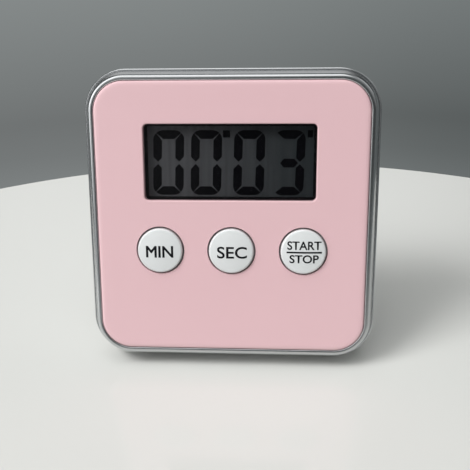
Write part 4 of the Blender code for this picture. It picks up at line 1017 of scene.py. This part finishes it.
def make_cell():
    """A steel can in a jacket of two colours; distances run from its negative end."""
    length, nipple, spring, contact = 43.7, 0.8, 4.0, 0.3
    left = -(length + nipple) / 2 + (spring + contact) / 2
    centre = (0, 8.5, 13.1)

    def turned(name, profile):
        return lathe(name, [(r, left + run) for r, run in profile], centre, steps=64, along="X")

    radius, inside, band_end = 5.25, 4.5, 12.6
    upper = [(radius, band_end), (radius, 43.0), (5.19, 43.3), (inside, 43.34), (inside, band_end)]
    lower = [(radius, 0.7), (radius, band_end), (inside, band_end), (inside, 0.64), (5.19, 0.66)]
    for name, mat, profile in (("cell_jacket", jacket, upper), ("cell_band", jacket_band, lower)):
        place(turned(name, profile + profile[:1]), mat, "case")
    can = [(0, 0.0), (4.3, 0.0), (4.9, 0.2), (5.1, 0.5), (5.1, 0.62), (4.45, 0.62), (4.45, 43.36)]
    can += [(5.1, 43.36), (5.1, 43.5), (4.8, length), (1.95, length)]
    can += [(1.9, 43.8), (1.9, 44.35), (1.75, 44.5), (0, 44.5)]
    place(turned("cell_can", can), steel, "case", ("battery_cell",))


# Finishes on the pieces that keep their CAD shape


# By the start of the node's name
CAD_FINISHES = {
    "display_lens": lens,
    "lcd_front_glass": display_face,
    "lcd_rear_glass": display_face,
    "lcd_reflector": film_grey,
    "lcd_holder": black_moulding,
    "zebra_strip": rubber_black,
    "contact_pill": rubber_black,
    "circuit_board": board_green,
    "board_screw": steel,
    "chip_resin": resin,
    "crystal": steel,
    "capacitor": fired,
    "sounder_disc": brass,
    "sounder_ceramic": fired,
    "sounder_wire_red": wire_red,
    "sounder_wire_black": wire_black,
    "battery_wire_red": wire_red,
    "battery_wire_black": wire_black,
    "battery_spring": spring_steel,
    "contact_negative": spring_steel,
    "contact_positive": spring_steel,
    "stand_hinge_pin": steel,
}


def finish_cad_nodes():
    for name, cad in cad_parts.items():
        for start, finish in CAD_FINISHES.items():
            if name.startswith(start):
                cad.data.materials.clear()
                cad.data.materials.append(finish)


# Floor, light and camera, in metres


# How bright the surroundings are, by height: -1 is straight down, 0 level, 1 straight up
SURROUND_SHADES = (
    (-0.60, 0.14), (-0.36, 0.155), (-0.33, 0.13), (-0.285, 0.112), (-0.243, 0.135), (-0.165, 0.172),
    (-0.10, 0.20), (0.02, 0.12), (0.08, 0.05), (0.22, 0.05), (0.40, 0.10), (1.0, 0.14),
)
# A little less red than green and blue
SURROUND_TINT = (0.905, 1, 1)
# Direction, angle where the glow ends, angle where it is full, strength
SOFT_GLOWS = (
    ((-0.10, -0.20, 0.97), 32, 18, 1.5),
    ((-0.62, -0.42, 0.66), 24, 10, 1.9),
    ((-0.20, -0.78, 0.60), 22, 8, 0.3),
    ((-0.60, -0.77, 0.22), 24, 8, 0.45),
    ((-0.86, -0.42, 0.28), 21, 10, 2.0),
    ((-0.10, 0.92, 0.38), 28, 10, 0.50),
    ((-0.53, 0.85, -0.20), 50, 5, 0.06),
    ((-0.27, -0.95, 0.14), 13, 5, 0.24),
    ((0.70, 0.42, 0.58), 26, 8, 0.45),
    ((0.66, -0.06, 0.54), 44, 24, 0.18),
)
# Name, place, side of its square and power of each lamp
LAMPS = (
    ("window_left", (-0.82, -0.46, 1.12), 0.54, 11.7),
    ("ceiling", (-0.17, -0.18, 0.85), 0.45, 0.4),
)
LAMPS_AIM = (0, 0, 0.03)


def make_floor():
    """A round, glossy, pale table; its far edge is where the photograph has it."""
    table = surface(
        "pale_table", (0.672, 0.674, 0.648), 0.04,
        tones=((0.667, 0.669, 0.643), (0.677, 0.679, 0.653), 8), gloss=(0.03, 0.06, 30),
    )
    radius, centre = 0.2115, (0.0073, -0.09, 0)
    bm = bmesh.new()
    bmesh.ops.create_circle(bm, cap_ends=True, segments=240, radius=radius)
    bmesh.ops.translate(bm, vec=centre, verts=bm.verts)
    top = sheet("table", bm)
    top.data.materials.append(table)


def make_lamps():
    """Soft lamps that make the shadows; gloss shows the glows instead."""
    for name, place_at, side, power in LAMPS:
        data = bpy.data.lights.new(name, "AREA")
        data.shape = "RECTANGLE"
        data.size = data.size_y = side
        data.energy = power
        lamp = put(name, data)
        lamp.location = place_at
        ahead = Vector(LAMPS_AIM) - Vector(place_at)
        lamp.rotation_euler = ahead.to_track_quat("-Z", "Y").to_euler()
        lamp.visible_glossy = False


def tinted(grey):
    return tuple(grey * share for share in SURROUND_TINT)


def make_surroundings():
    """Plain grey all round, darker and lighter by height, with soft bright areas."""
    world = bpy.data.worlds.new("room")
    bpy.context.scene.world = world
    world.use_nodes = True
    tree = world.node_tree
    way = step(tree, "ShaderNodeTexCoord", {})
    height = step(tree, "ShaderNodeSeparateXYZ", {"Vector": way}, "Z")
    stops = [((at + 1) / 2, tinted(grey)) for at, grey in SURROUND_SHADES]
    total = blend(tree, remap(tree, height, (-1.0, 1.0), (0.0, 1.0)), stops)
    for toward, outer, inner, strength in SOFT_GLOWS:
        given = {"operation": "DOT_PRODUCT", 0: way, 1: Vector(toward).normalized()}
        facing = step(tree, "ShaderNodeVectorMath", given, "Value")
        edges = [math.cos(math.radians(angle)) for angle in (outer, inner)]
        glow = remap(tree, facing, edges, (0.0, strength), "SMOOTHSTEP")
        total = step(tree, "ShaderNodeVectorMath", {"operation": "ADD", 0: total, 1: glow})
    tree.links.new(total, tree.nodes["Background"].inputs["Color"])


def make_camera():
    """The photograph's view, as solved from the timer's outline, window and buttons."""
    sensor, picture_pixels, focal_pixels = 36, 470, 667
    data = bpy.data.cameras.new("photo_view")
    data.sensor_width = sensor
    data.lens = sensor * focal_pixels / picture_pixels
    data.clip_start = 0.01
    camera = put("photo_view", data)
    right = Vector((0.99825774, 0.05582119, -0.01911775))
    up = Vector((-0.00839588, 0.4550921, 0.89040479))
    ahead = Vector((-0.05840379, 0.88869296, -0.45476788))
    turn = Matrix((right, up, -ahead)).transposed().to_4x4()
    camera.matrix_world = Matrix.Translation((0.01020345, -0.1563929, 0.1060672)) @ turn
    bpy.context.scene.camera = camera


make_ring()
make_panel()
make_buttons()
make_domes()
make_words()
make_display()
make_cover()
make_door()
make_stand()
make_screws()
make_magnets()
make_cell()
finish_cad_nodes()
make_floor()
make_surroundings()
make_lamps()
make_camera()
bpy.context.scene.view_settings.view_transform = "Standard"
